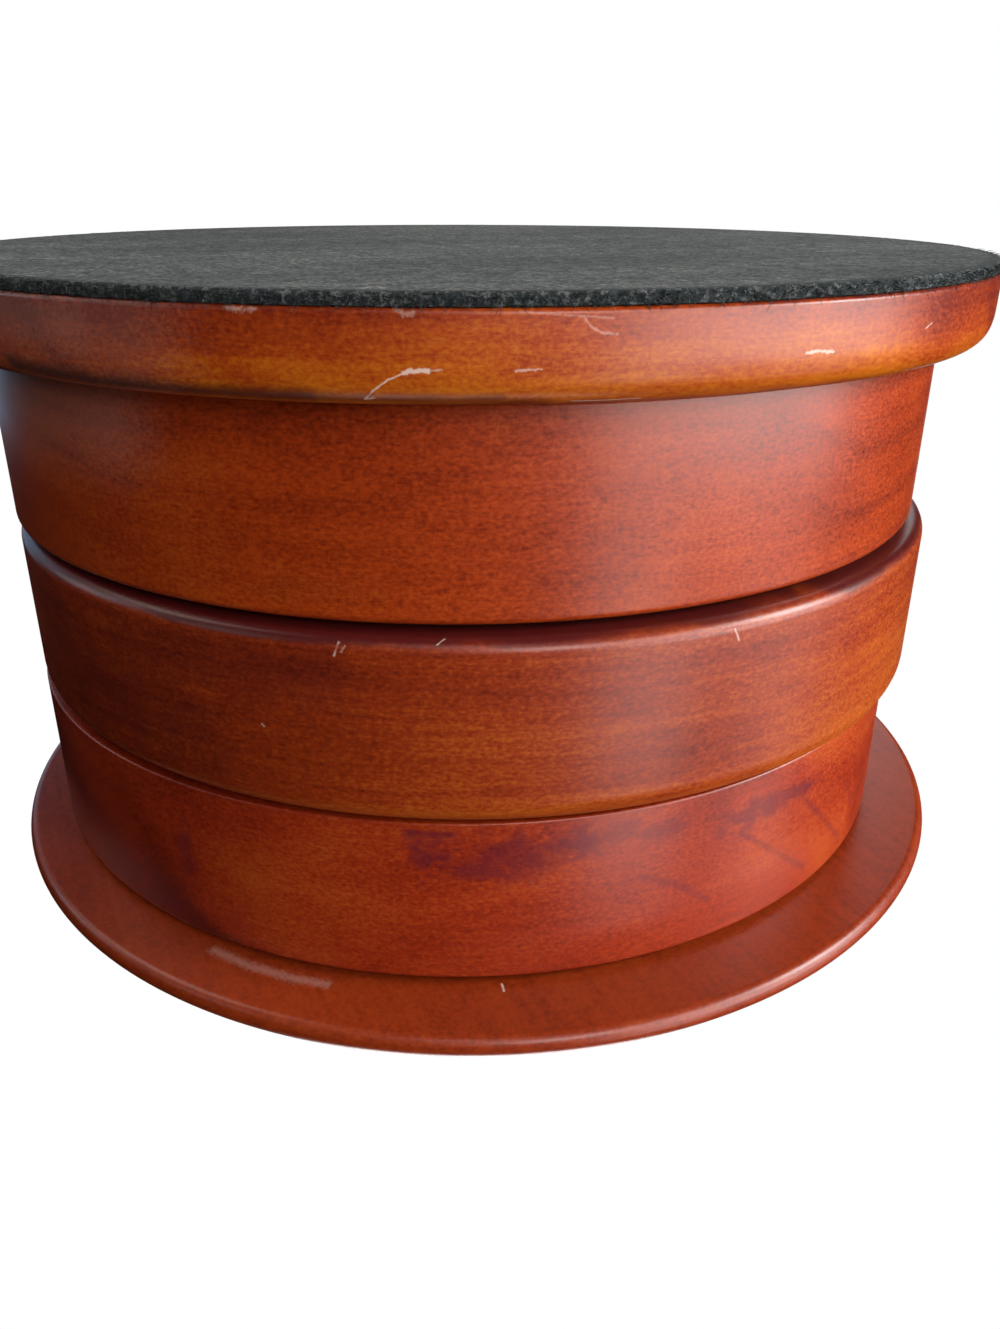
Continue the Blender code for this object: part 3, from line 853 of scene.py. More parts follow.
@dataclass
class PhotoCamera:
    """The camera of the photograph, as fitted to the rings' edges.

    Lengths are shares of the trays' radius, in a frame that has the box on its lid.

    Attributes:
        setting: Where the box is.
        focal_pixels: Focal length in the photograph's pixels.
        distance_share: Distance in plan from the trays' axis.
        height_share: Height above the table that the lid lies on.
        pitch: How far it looks down, in radians.
        yaw: How far it looks to the right, in radians.
        roll: How far it is rolled, in radians.
        rod_bearing: Where the rod is, in radians from the photograph's right.
    """

    setting: Setting
    focal_pixels: float = 1068.1
    distance_share: float = 2.5261
    height_share: float = 1.3753
    pitch: float = 0.4269
    yaw: float = 0.0306
    roll: float = 0.0028
    rod_bearing: float = 0.4116

    def to_box(self, vector: Vector, is_place: bool) -> Vector:
        """Turn a vector or place from the photograph's upright frame into the box's."""
        flipped = Vector((-vector.x, vector.y, -vector.z))
        turn = QUARTER - (math.pi - self.rod_bearing)
        turned_round = Matrix.Rotation(turn, 3, "Z") @ flipped
        if is_place:
            turned_round = turned_round * self.setting.tray_radius
            turned_round.z += self.setting.top
        return turned_round

    def axes(self) -> tuple[Vector, Vector, Vector]:
        """Return the directions right, up and ahead, in the box's frame."""
        ahead = Vector((math.sin(self.yaw) * math.cos(self.pitch),
                        math.cos(self.yaw) * math.cos(self.pitch), -math.sin(self.pitch)))
        level = Vector((math.cos(self.yaw), -math.sin(self.yaw), 0.0))
        above = level.cross(ahead)
        right = level * math.cos(self.roll) + above * math.sin(self.roll)
        up = above * math.cos(self.roll) - level * math.sin(self.roll)
        return tuple(self.to_box(v, False) for v in (right, up, ahead))

    def place(self) -> Vector:
        """Return where the camera stands, in the box's frame."""
        return self.to_box(Vector((0.0, -self.distance_share, self.height_share)), True)

    def make(self) -> bpy.types.Object:
        """Add the camera to the scene."""
        data = bpy.data.cameras.new("photo_camera")
        data.sensor_width = 36.0
        data.lens = self.focal_pixels * data.sensor_width / PHOTO_HEIGHT
        data.clip_start = 0.01
        data.clip_end = 50.0
        camera = bpy.data.objects.new("photo_camera", data)
        right, up, ahead = self.axes()
        turn = Matrix((right, up, -ahead)).transposed().to_4x4()
        camera.matrix_world = Matrix.Translation(self.place()) @ turn
        bpy.context.scene.collection.objects.link(camera)
        bpy.context.scene.camera = camera
        return camera

    def ray(self, column: float, row: float) -> Vector:
        """Return the direction that a pixel of the photograph looks along."""
        right, up, ahead = self.axes()
        across = (column - PHOTO_WIDTH / 2) / self.focal_pixels
        above = (PHOTO_HEIGHT / 2 - row) / self.focal_pixels
        return (ahead + right * across + up * above).normalized()

    def land(self, piece: bpy.types.Object, column: float, row: float) -> Optional[Vector]:
        """Return the point of a piece that a pixel of the photograph shows, if any."""
        hit, point, _, _ = piece.ray_cast(self.place(), self.ray(column, row))
        return point if hit else None


@dataclass(frozen=True)
class PixelMark:
    """A mark as the photograph shows it.

    Attributes:
        pixels: (column, row) points in the photograph.
        width: Half width in metres.
        strength: How far it hides the stain.
        soft: The share of its half width over which it fades.
        ragged: How broken its edge is.
    """

    pixels: tuple[Point2, ...]
    width: float
    strength: float = 1.0
    soft: float = 0.5
    ragged: float = 1.2

    def on(self, camera: PhotoCamera, piece: bpy.types.Object) -> Mark:
        """Lay the mark on a piece."""
        found = [camera.land(piece, *pixel) for pixel in self.pixels]
        return Mark(tuple(point for point in found if point is not None), self.width,
                    self.strength, self.soft, self.ragged)


PLINTH_MARKS = (
    PixelMark(((365, 399), (374, 390), (388, 380), (404, 373)), 0.20 * MM, 0.62, 0.8, 1.6),
    PixelMark(((404, 373), (412, 371), (428, 371)), 0.46 * MM, 0.75, 0.7, 1.8),
    PixelMark(((428, 371), (442, 370)), 0.24 * MM, 0.40, 0.9, 1.8),
    PixelMark(((366, 399), (374, 398)), 0.34 * MM, 0.45, 0.9, 1.8),
    PixelMark(((806, 353), (818, 351), (834, 352)), 0.36 * MM, 0.70, 0.8, 2.4),
    PixelMark(((516, 371), (542, 369)), 0.26 * MM, 0.40, 0.9, 2.4),
    PixelMark(((396, 309), (403, 314), (412, 313)), 0.60 * MM, 0.22, 1.0, 2.2),
    PixelMark(((584, 316), (592, 328), (604, 333), (618, 334)), 0.30 * MM, 0.26, 1.0, 2.0),
    PixelMark(((520, 312), (570, 315), (614, 318)), 0.26 * MM, 0.16, 1.0, 2.0),
    PixelMark(((226, 307), (244, 310), (254, 309)), 0.60 * MM, 0.32, 1.0, 2.6),
    PixelMark(((926, 328), (932, 323)), 0.22 * MM, 0.45, 0.8),
    # A pale line along the plinth's edge by the lower tray: partly wear, partly a painted glint.
    PixelMark(((572, 401), (606, 400), (640, 398)), 0.22 * MM, 0.75, 0.9, 1.2),
    # Two broad faint pale marks on the camera's left: painted sheen.
    PixelMark(((0, 312), (40, 320), (70, 326)), 10.0 * MM, 0.11, 1.0, 1.6),
    PixelMark(((0, 312), (60, 324), (120, 332)), 16.0 * MM, 0.07, 1.0, 1.6),
)
# Painted shade: dark plum along the plinth's edge by the lower tray, on the camera's left, where it
# lies in shade.
PLINTH_PAINTED_SHADE = (
    PixelMark(((14, 364), (50, 372), (100, 381), (160, 388)), 3.0 * MM, 0.95, 1.0, 0.8),
    PixelMark(((160, 388), (230, 393), (310, 397)), 2.6 * MM, 0.90, 1.0, 0.8),
    PixelMark(((310, 397), (400, 400), (500, 400)), 1.8 * MM, 0.70, 1.0, 0.8),
)
# Painted sheen: a broad faint pale mark on the lower tray, on the camera's left.
LOWER_PAINTED_SHEEN = (
    PixelMark(((20, 390), (60, 400), (100, 408)), 17.0 * MM, 0.11, 1.0, 1.0),
)
MIDDLE_MARKS = (
    PixelMark(((339, 642), (334, 655)), 0.36 * MM, 0.50, 0.9, 2.0),
    PixelMark(((345, 646), (341, 652)), 0.24 * MM, 0.25, 0.9, 2.0),
    PixelMark(((437, 645), (445, 639)), 0.20 * MM, 0.45, 0.8),
    PixelMark(((240, 812), (252, 813), (266, 817)), 0.24 * MM, 0.50, 0.8),
    PixelMark(((735, 629), (739, 640)), 0.26 * MM, 0.40, 0.8),
    PixelMark(((262, 724), (264, 726)), 0.30 * MM, 0.40, 0.8),
)
MIDDLE_STAINS = (
    PixelMark(((60, 640), (110, 690), (180, 725)), 15.0 * MM, 0.42, 1.0, 1.6),
    PixelMark(((120, 640), (230, 670), (330, 680)), 9.0 * MM, 0.34, 1.0, 2.2),
)
# Plum stain patches and lines on the upper tray; the band beside the middle tray is partly painted
# shadow.
UPPER_STAINS_AND_SHADE = (
    PixelMark(((90, 800), (120, 850), (160, 900)), 12.0 * MM, 0.40, 1.0, 2.0),
    # Partly plum stain patches, partly painted shadow under the middle tray's overhang.
    PixelMark(((418, 858), (432, 854), (446, 852)), 6.0 * MM, 0.75, 1.0, 4.0),
    PixelMark(((470, 868), (505, 862), (540, 856)), 7.0 * MM, 0.60, 1.0, 4.0),
    PixelMark(((530, 848), (556, 846), (585, 842)), 5.0 * MM, 0.70, 1.0, 4.0),
    PixelMark(((600, 838), (640, 834), (676, 828)), 3.6 * MM, 0.45, 1.0, 3.0),
    PixelMark(((735, 819), (752, 812), (770, 806)), 4.4 * MM, 0.62, 1.0, 4.0),
    PixelMark(((786, 800), (797, 793), (808, 788)), 3.6 * MM, 0.66, 1.0, 4.0),
    PixelMark(((741, 833), (769, 848), (803, 867)), 1.1 * MM, 0.50, 1.0, 1.5),
    PixelMark(((794, 786), (811, 806), (837, 836)), 1.1 * MM, 0.46, 1.0, 1.5),
    PixelMark(((640, 876), (684, 887), (709, 900)), 1.2 * MM, 0.40, 1.0, 1.5),
    PixelMark(((846, 778), (850, 800), (856, 822)), 1.6 * MM, 0.30, 1.0, 2.0),
    PixelMark(((180, 828), (186, 846), (190, 868)), 3.0 * MM, 0.50, 1.0, 3.0),
)
LID_MARKS = (
    PixelMark(((214, 950), (250, 966), (296, 979), (326, 984)), 1.70 * MM, 0.16, 1.0, 1.6),
    PixelMark(((502, 984), (504, 991)), 0.32 * MM, 0.60, 0.7),
)


def laid(marks: Sequence[PixelMark], camera: PhotoCamera,
         piece: bpy.types.Object) -> tuple[Mark, ...]:
    """Lay marks on a piece.

    Args:
        marks: The marks as the photograph shows them.
        camera: The photograph's camera.
        piece: The piece that they are on.

    Returns:
        The marks in the box's frame.
    """
    return tuple(mark.on(camera, piece) for mark in marks)


@dataclass
class Plinth:
    """The turned plinth, which stands on the felt.

    Attributes:
        setting: Where the box is.
        band_height: Height of the upright band.
        edge_round: Rounding at the band's lower edge.
        ledge: How far the plinth's top stands out from the tray.
        quirk: Height of the small step under the tray.
        shoulder_share: How far the moulding reaches at its shoulder, as a share of its radii.
    """

    setting: Setting
    band_height: float = 5.8 * MM
    edge_round: float = 0.8 * MM
    ledge: float = 2.4 * MM
    quirk: float = 0.3 * MM
    shoulder_share: float = 0.79

    def build(self) -> bpy.types.Object:
        """Return the plinth's own piece."""
        low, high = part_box("base_plinth")
        radius = (high.x - low.x) / 2
        neck = self.setting.tray_radius + self.ledge
        band_top = low.z + self.band_height
        outline = [Corner(0.0, low.z), Corner(radius, low.z, self.edge_round)]
        rise = high.z - self.quirk - band_top
        power = 2.0 * math.log(self.shoulder_share) / math.log(0.5)
        for corner in arc((0.0, 0.0), (1.0, 1.0), 0.0, QUARTER, 18):
            across = max(corner.radius, 0.0) ** power
            above = max(corner.height, 0.0) ** power
            outline.append(Corner(neck + (radius - neck) * across, band_top + rise * above))
        outline += [Corner(neck, high.z), Corner(0.0, high.z)]
        return turned("plinth", filleted(outline))

    def dress(self, piece: bpy.types.Object, camera: PhotoCamera) -> None:
        """Stain the plinth, with the scratches that the photograph shows, painted shade along its
        edge by the lower tray and painted sheen on the camera's left.
        """
        marks = laid(PLINTH_MARKS, camera, piece)
        stains_and_shade = laid(PLINTH_PAINTED_SHADE, camera, piece)
        # The dark plum here only paints shade: along the edge by the lower tray, in the band and in
        # the marks.
        wood = StainedWood("plinth_wood", deep=(0.130, 0.0085, 0.0016),
                           main=(0.285, 0.036, 0.0024), thin=(0.450, 0.112, 0.0036),
                           plum=(0.050, 0.0045, 0.0016), seed=4.0, patches=0.0, blotch=1.5,
                           figure=0.16, lean=(0.45, -0.45, 0.60), fade=(0.0, 0.0, 38.0),
                           base=8.6 * MM, painted_shade_bands=((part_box("base_plinth")[1].z, 1.8 * MM),),
                           stains_and_shade=stains_and_shade, marks=marks)
        finish_piece(piece, wood.make(), Body.BASE, ["base_plinth"])


@dataclass
class FeltBase:
    """The felt disc with its furry edge.

    Attributes:
        setting: Where the box is; not used.
        edge_round: Rounding of the cut edge.
        ripple: How uneven the cut edge is.
        hairs: Number of loose fibres along the edge.
        hair_length: Their mean length.
        hair_radius: Their radius at the root.
        seed: Starts the random draws.
    """

    setting: Setting
    edge_round: float = 0.8 * MM
    ripple: float = 0.55 * MM
    hairs: int = 8000
    hair_length: float = 1.3 * MM
    hair_radius: float = 0.055 * MM
    seed: int = 7

    def build(self, finishes: Finishes) -> None:
        """Make the disc and its loose fibres."""
        low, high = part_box("felt_pad")
        radius = (high.x - low.x) / 2
        top = high.z + 0.2 * MM
        corners = [Corner(0.0, low.z)]
        corners += [Corner(radius * share, low.z) for share in (0.3, 0.6, 0.8, 0.9, 0.96)]
        corners += [Corner(radius, low.z, self.edge_round), Corner(radius, top, 0.3 * MM),
                    Corner(0.0, top)]

        def uneven(out: float, height: float, angle: float) -> float:
            """Return the radius with the cut edge's unevenness."""
            if out < 0.95 * radius:
                return out
            around = Vector((math.cos(angle), math.sin(angle), height / radius * 4.0)) * 34.0
            coarse = noise.noise(around)
            fine = noise.noise(around * 5.0)
            return out + self.ripple * (0.6 * coarse + 0.5 * fine)

        disc = turned("felt", filleted(corners), steps=720, reach=uneven)
        finish_piece(disc, finishes.felt, Body.BASE, ["felt_pad"])
        fuzz = self.fibres(radius, low.z, top)
        finish_piece(fuzz, finishes.felt, Body.BASE)

    def fibres(self, radius: float, low: float, high: float) -> bpy.types.Object:
        """Return the loose fibres along the cut edge, each a thin bent spike."""
        draw = np.random.default_rng(self.seed)
        corners: list[Vector] = []
        faces: list[tuple[int, ...]] = []
        for _ in range(self.hairs):
            angle = draw.uniform(0.0, FULL_TURN)
            height = draw.uniform(low + 0.2 * MM, high - 0.1 * MM)
            out = Vector((math.cos(angle), math.sin(angle), 0.0))
            side = Vector((-out.y, out.x, 0.0))
            inset = draw.uniform(0.0, 0.6) * self.edge_round
            root = out * (radius - inset) + Vector((0.0, 0.0, height))
            lean = out * draw.uniform(0.4, 1.1) + side * draw.normal(0.0, 0.7)
            lean += Vector((0.0, 0.0, draw.normal(0.20, 0.40)))
            lean.normalize()
            curl = side * draw.normal(0.0, 0.5) + Vector((0.0, 0.0, draw.normal(0.0, 0.4)))
            length = self.hair_length * draw.uniform(0.5, 1.5)
            self.add_spike(corners, faces, root, lean, curl, length, low)
        return object_of("felt_edge_fibres", corners, faces, 180.0)

    def add_spike(self, corners: list[Vector], faces: list[tuple[int, ...]], root: Vector,
                  lean: Vector, curl: Vector, length: float, floor: float) -> None:
        """Add one fibre of three sides, kept above the floor."""
        start = len(corners)
        across = lean.cross(Vector((0.0, 0.0, 1.0))).normalized()
        above = across.cross(lean).normalized()
        for share, thick in ((0.0, 1.0), (0.5, 0.8)):
            middle = root + lean * (length * share) + curl * (length * share * share)
            for side in range(3):
                angle = FULL_TURN * side / 3
                offset = across * math.cos(angle) + above * math.sin(angle)
                corner = middle + offset * (self.hair_radius * thick)
                corner.z = max(corner.z, floor + 0.02 * MM)
                corners.append(corner)
        tip = root + lean * length + curl * length
        tip.z = max(tip.z, floor + 0.04 * MM)
        corners.append(tip)
        for side in range(3):
            ahead = (side + 1) % 3
            faces.append((start + side, start + ahead, start + 3 + ahead, start + 3 + side))
            faces.append((start + 3 + side, start + 3 + ahead, start + 6))
        faces.append((start + 2, start + 1, start))


@dataclass
class Tray:
    """A turned tray: its wall, the block round the rod and its lining.

    Attributes:
        setting: Where the box is.
        name: The tray's name, as in its nodes.
        body: The body that it rides on.
        bottom_round: Rounding of the wall's lower outer edge.
        top_round: Rounding of the rim's outer edge.
        hole: Radius of the hole round the rod.
        wood: The wall's finish.
        wall: The wall's thickness.
        block_half: Half the width of the block round the rod.
        lining: The wall lining's thickness.
        gap: Clearance between the pieces.
    """

    setting: Setting
    name: str
    body: Body
    bottom_round: float
    top_round: float
    hole: float
    wood: StainedWood
    wall: float = 8.0 * MM
    block_half: float = 11.2 * MM
    lining: float = 1.2 * MM
    gap: float = 0.3 * MM

    @property
    def wall_node(self) -> str:
        """Return the wall's node name."""
        return f"{self.name}_tray_wall"

    def settle(self, piece: bpy.types.Object) -> bpy.types.Object:
        """Turn a piece built as if the tray were closed to where the tray stands."""
        piece.data.transform(self.setting.turn_of(self.wall_node))
        return piece

    def bore(self) -> float:
        """Return the wall's inner radius."""
        return self.setting.tray_radius - self.wall

    def build_wall(self) -> bpy.types.Object:
        """Return the turned wall."""
        low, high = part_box(self.wall_node)
        out = self.setting.tray_radius
        outline = [Corner(self.bore(), low.z, 0.3 * MM), Corner(out, low.z, self.bottom_round),
                   Corner(out, high.z, self.top_round), Corner(self.bore(), high.z, 1.0 * MM)]
        return self.settle(turned(self.wall_node + "_turned", filleted(outline, 8), steps=288))

    def dress_wall(self, wall: bpy.types.Object, marks: Sequence[Mark] = (),
                   stains_and_shade: Sequence[Mark] = ()) -> None:
        """Stain the wall and the block round the rod."""
        values = {**self.wood.__dict__, "marks": tuple(marks), "stains_and_shade": tuple(stains_and_shade)}
        material = StainedWood(**values).make()
        finish_piece(wall, material, self.body, [self.wall_node])
        finish_piece(self.build_block(), material, self.body)

    def build_block(self) -> bpy.types.Object:
        """Return the block that holds the rod, with its hole."""
        low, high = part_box(self.wall_node)
        rod = self.setting.rod
        half = self.block_half
        back = self.setting.tray_radius - self.wall / 2
        relief = 0.2 * MM
        edge = 0.6 * MM
        outline = [Corner(self.hole, low.z + relief), Corner(half, low.z + relief, edge),
                   Corner(half, high.z - relief, edge), Corner(self.hole, high.z - relief)]

        def plan(radius: float, height: float, angle: float) -> float:
            """Return the block's reach from the rod: round in front, square behind."""
            if radius <= self.hole + 1e-6:
                return radius
            ahead = Vector((math.cos(angle), math.sin(angle)))
            reach = radius
            if ahead.y > 0:
                reach = radius / max(abs(ahead.x), 1e-3)
            along = rod.dot(ahead)
            limit = -along + math.sqrt(along ** 2 - rod.length_squared + back ** 2)
            return min(reach, limit)

        block = turned(f"{self.name}_rod_block", filleted(outline, 3), tuple(rod), 96, plan)
        return self.settle(block)

    def lining_bore(self) -> float:
        """Return the lined tray's inner radius."""
        return self.bore() - self.gap - self.lining

    def build_lining(self, finishes: Finishes) -> None:
        """Make the band of cloth round the wall and the pad on the floor."""
        band_low, band_high = (corner.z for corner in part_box(f"{self.name}_wall_lining"))
        inner = self.lining_bore()
        outer = inner + self.lining
        clear = self.block_half + self.gap
        side = math.asin(clear / inner)
        steps = 220
        section = filleted([Corner(inner, band_low), Corner(outer, band_low),
                            Corner(outer, band_high, 0.5 * MM),
                            Corner(inner, band_high, 0.5 * MM)], 3)
        rows = []
        for step in range(steps + 1):
            share = step / steps
            angle = QUARTER + side + (FULL_TURN - 2 * side) * share
            rows.append([(radius * math.cos(angle), radius * math.sin(angle), height)
                         for radius, height in section])
        band = self.settle(lofted(f"{self.name}_wall_velvet", rows))
        flip_out(band)
        finish_piece(band, finishes.velvet, self.body, [f"{self.name}_wall_lining"])
        pad = self.settle(self.floor_pad(f"{self.name}_floor_velvet", inner - self.gap))
        finish_piece(pad, finishes.velvet, self.body, [f"{self.name}_floor_pad"])

    def floor_pad(self, name: str, radius: float) -> bpy.types.Object:
        """Return the floor pad: a disc with a crowned edge and a notch for the block."""
        low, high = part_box(f"{self.name}_floor_pad")
        clear = self.block_half + self.gap
        rod = self.setting.rod
        rings = ((0.0, low.z), (0.0, high.z - 0.7 * MM), (0.25 * MM, high.z - 0.3 * MM),
                 (0.8 * MM, high.z - 0.05 * MM), (1.8 * MM, high.z))
        steps = 240
        rows = []
        for inset, height in rings:
            row = []
            for step in range(steps):
                angle = FULL_TURN * step / steps
                row.append((*self.notched(angle, radius - inset, clear + inset, rod), height))
            rows.append(row)
        return lofted(name, rows)

    @staticmethod
    def notched(angle: float, radius: float, clear: float, rod: Vector) -> Point2:
        """Return the pad's outline at an angle: a circle, drawn in round the rod's block."""
        point = Vector((math.cos(angle), math.sin(angle))) * radius
        if abs(point.x) < clear and point.y > 0:
            drop = math.sqrt(max(clear ** 2 - point.x ** 2, 0.0))
            point.y = min(point.y, rod.y - drop)
        return point.x, point.y


def flip_out(piece: bpy.types.Object) -> None:
    """Turn every face of a closed piece outwards."""
    form = bmesh.new()
    form.from_mesh(piece.data)
    bmesh.ops.recalc_face_normals(form, faces=form.faces)
    form.to_mesh(piece.data)
    form.free()


@dataclass
class Board:
    """A cloth-covered divider, or a padded roll for rings.

    Attributes:
        name: The piece's name.
        node: The node that it stands for.
        tray: The tray that it lies in.
        puff: How far the cloth swells between its ends.
    """

    name: str
    node: str
    tray: Tray
    puff: float = 0.25 * MM

    def closed_box(self) -> tuple[Vector, Vector]:
        """Return the node's box with the tray's turn taken out."""
        back = self.tray.setting.turn_of(self.tray.wall_node).inverted()
        mesh = bpy.data.objects[self.node].data
        points = [back @ vertex.co for vertex in mesh.vertices]
        low = Vector(tuple(min(p[axis] for p in points) for axis in range(3)))
        high = Vector(tuple(max(p[axis] for p in points) for axis in range(3)))
        return low, high

    def build(self, finishes: Finishes, is_roll: bool) -> None:
        """Make the piece.

        Args:
            finishes: The materials.
            is_roll: Whether its top is a half round, as a ring roll's is.
        """
        low, high = self.closed_box()
        size = high - low
        along_x = size.x >= size.y
        length = size.x if along_x else size.y
        width = size.y if along_x else size.x
        section = self.section(width, size.z, is_roll)
        middle = (low + high) / 2
        rows = []
        ends = 5
        stations = 36
        for step in range(stations + 1):
            share = step / stations
            near = min(step, stations - step)
            pinch = 1.0 if near >= ends else math.sin(QUARTER * (near + 0.6) / (ends + 0.6))
            reach = -length / 2 + length * self.ease(share)
            wave = noise.noise(Vector((share * 9.0, hash_number(self.name), 0.0)))
            row = []
            for across, above in section:
                swell = 1.0 + self.puff * wave / width
                offset = across * swell * (0.80 + 0.20 * pinch)
                height = low.z + above * (0.94 + 0.06 * pinch)
                if along_x:
                    row.append((middle.x + reach, middle.y - offset, height))
                else:
                    row.append((middle.x + offset, middle.y + reach, height))
            rows.append(row)
        piece = self.tray.settle(lofted(self.name, rows))
        flip_out(piece)
        finish_piece(piece, finishes.velvet, self.tray.body, [self.node])

    @staticmethod
    def ease(share: float) -> float:
        """Return a share with the stations drawn towards both ends."""
        return 0.5 - 0.5 * math.cos(math.pi * share)

    @staticmethod
    def section(width: float, height: float, is_roll: bool) -> list[Point2]:
        """Return the cross-section, from the floor up."""
        half = width / 2
        if is_roll:
            crown = arc((0.0, height - half), (half, half), 0.0, math.pi, 14)
            corners = [Corner(-half, 0.0, 0.8 * MM), Corner(half, 0.0, 0.8 * MM), *crown]
        else:
            corners = [Corner(-half, 0.0, 0.6 * MM), Corner(half, 0.0, 0.6 * MM),
                       Corner(half, height, 1.4 * MM), Corner(-half, height, 1.4 * MM)]
        return filleted(corners, 5)


def hash_number(name: str) -> float:
    """Return a number that differs from name to name and is the same each run."""
    return sum(ord(letter) * (place + 1) for place, letter in enumerate(name)) * 0.137


@dataclass
class Lid:
    """The thin lid with its mirror and screw.

    Attributes:
        setting: Where the box is.
        mirror_gap: Clearance round the mirror.
        screw_gap: Clearance round the screw.
    """

    setting: Setting
    mirror_gap: float = 0.3 * MM
    screw_gap: float = 0.3 * MM

    def build(self) -> bpy.types.Object:
        """Return the lid, with the recess for the mirror and the hole for the screw."""
        low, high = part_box("lid_panel")
        mirror_low, mirror_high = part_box("lid_mirror")
        radius = (high.x - low.x) / 2
        recess = (mirror_high.x - mirror_low.x) / 2 + self.mirror_gap
        roof = mirror_high.z + self.mirror_gap
        half = (high.z - low.z) / 2
        outline = [Corner(0.0, roof), Corner(recess, roof), Corner(recess, low.z, 0.2 * MM)]
        outline += arc((radius - half * 0.9, low.z + half), (half * 0.9, half), -QUARTER,
                       QUARTER, 20)
        outline += [Corner(0.0, high.z)]
        middle = (low + high) / 2
        lid = turned("lid_turned", filleted(outline), (middle.x, middle.y), 288)
        screw_low, screw_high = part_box("lid_screw")
        head = (screw_high.y - screw_low.y) / 2 + self.screw_gap
        drill = turned("lid_drill", [(0.0, low.z - 1.0 * MM), (head * 0.55, low.z - 1.0 * MM),
                                     (head * 0.55, screw_high.z - 2.2 * MM),
                                     (head, screw_high.z - 0.4 * MM),
                                     (head, high.z + 1.0 * MM), (0.0, high.z + 1.0 * MM)],
                       tuple(self.setting.rod), 64)
        cut(lid, drill)
        return lid

    def dress(self, lid: bpy.types.Object, camera: PhotoCamera, finishes: Finishes) -> None:
        """Stain the lid and finish its mirror."""
        marks = laid(LID_MARKS, camera, lid)
        wood = StainedWood("lid_wood", deep=(0.106, 0.0092, 0.0019),
                           main=(0.212, 0.0230, 0.0032), thin=(0.276, 0.039, 0.005),
                           seed=19.0, streak=(22.0, 420.0, 420.0), blotch=0.5,
                           patches=0.0, figure=0.10, lean=(0.04, 0.30, 0.10), marks=marks)
        finish_piece(lid, wood.make(), Body.LID, ["lid_panel"])
        low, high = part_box("lid_mirror")
        radius = (high.x - low.x) / 2
        outline = [Corner(0.0, low.z), Corner(radius - 0.8 * MM, low.z),
                   Corner(radius, low.z + 0.5 * MM), Corner(radius, high.z), Corner(0.0, high.z)]
        middle = (low + high) / 2
        glass = turned("mirror", filleted(outline), (middle.x, middle.y), 200)
        finish_piece(glass, finishes.mirror, Body.LID, ["lid_mirror"])


@dataclass
class Hardware:
    """The rod, its bushes, spacers and screws.

    Attributes:
        setting: Where the box is.
        bore: Radius inside the bushes and spacers.
    """

    setting: Setting
    bore: float = 4.3 * MM

    def build(self, finishes: Finishes) -> None:
        """Make the visible hardware finer than the solids, and dress the rest."""
        rod_low, rod_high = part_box("pivot_rod")
        radius = (rod_high.x - rod_low.x) / 2
        outline = [Corner(0.0, rod_low.z), Corner(radius, rod_low.z, 0.5 * MM),
                   Corner(radius, rod_high.z, 0.3 * MM), Corner(2.3 * MM, rod_high.z),
                   Corner(2.3 * MM, rod_high.z - 10.3 * MM), Corner(0.0, rod_high.z - 10.3 * MM)]
        rod = turned("rod", filleted(outline, 3), tuple(self.setting.rod), 64)
        finish_piece(rod, finishes.steel, Body.BASE, ["pivot_rod"])
        rings = (("lower_spacer", Body.BASE), ("middle_spacer", Body.BASE),
                 ("upper_spacer", Body.BASE), ("middle_bush", Body.MIDDLE),
                 ("upper_bush", Body.UPPER))
        for node, body in rings:
            low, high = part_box(node)
            out = (high.y - low.y) / 2
            outline = [(self.bore, low.z), (out, low.z), (out, high.z), (self.bore, high.z)]
            ring = turned(node + "_turned", outline, tuple(self.setting.rod), 64)
            finish_piece(ring, finishes.nylon, body, [node])
        self.lid_screw(finishes)
        for node in ("plinth_screw_1", "plinth_screw_2", "plinth_screw_3", "plinth_screw_4",
                     "rod_nut", "rod_washer"):
            dress_node(node, finishes.steel)
        for node in ("middle_tray_floor", "upper_tray_floor"):
            dress_node(node, finishes.plywood)

    def lid_screw(self, finishes: Finishes) -> None:
        """Make the countersunk screw in the lid, with its slot."""
        low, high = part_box("lid_screw")
        head = (high.y - low.y) / 2
        outline = [Corner(0.0, low.z), Corner(2.0 * MM, low.z), Corner(2.0 * MM, high.z - 2.2 * MM),
                   Corner(head, high.z - 0.4 * MM), Corner(head, high.z, 0.15 * MM),
                   Corner(0.0, high.z)]
        screw = turned("lid_screw_turned", filleted(outline, 3), tuple(self.setting.rod), 64)
        rod = self.setting.rod
        half = 0.5 * MM
        rows = []
        for x in (-2 * head, 2 * head):
            rows.append([(rod.x + x, rod.y - half, high.z - 0.9 * MM),
                         (rod.x + x, rod.y + half, high.z - 0.9 * MM),
                         (rod.x + x, rod.y + half, high.z + 1.0 * MM),
                         (rod.x + x, rod.y - half, high.z + 1.0 * MM)])
        slot = lofted("slot", rows)
        flip_out(slot)
        cut(screw, slot)
        finish_piece(screw, finishes.brass, Body.BASE, ["lid_screw"])


def dress_node(node: str, material: bpy.types.Material) -> None:
    """Give a CAD node a finish and leave its shape."""
    mesh = bpy.data.objects[node].data
    mesh.materials.clear()
    mesh.materials.append(material)


@dataclass(frozen=True)
class Softbox:
    """A square lamp.

    Attributes:
        name: The lamp's name.
        bearing: Degrees to the right of the camera, seen in the photograph.
        rise: Degrees above the level in the photograph, where the box is upside down.
        distance: Distance from the box's middle, in metres.
        side: Length of its side.
        power: Power in watts.
        colour: Its colour.
    """

    name: str
    bearing: float
    rise: float
    distance: float
    side: float
    power: float
    colour: Colour = (1.0, 1.0, 1.0)


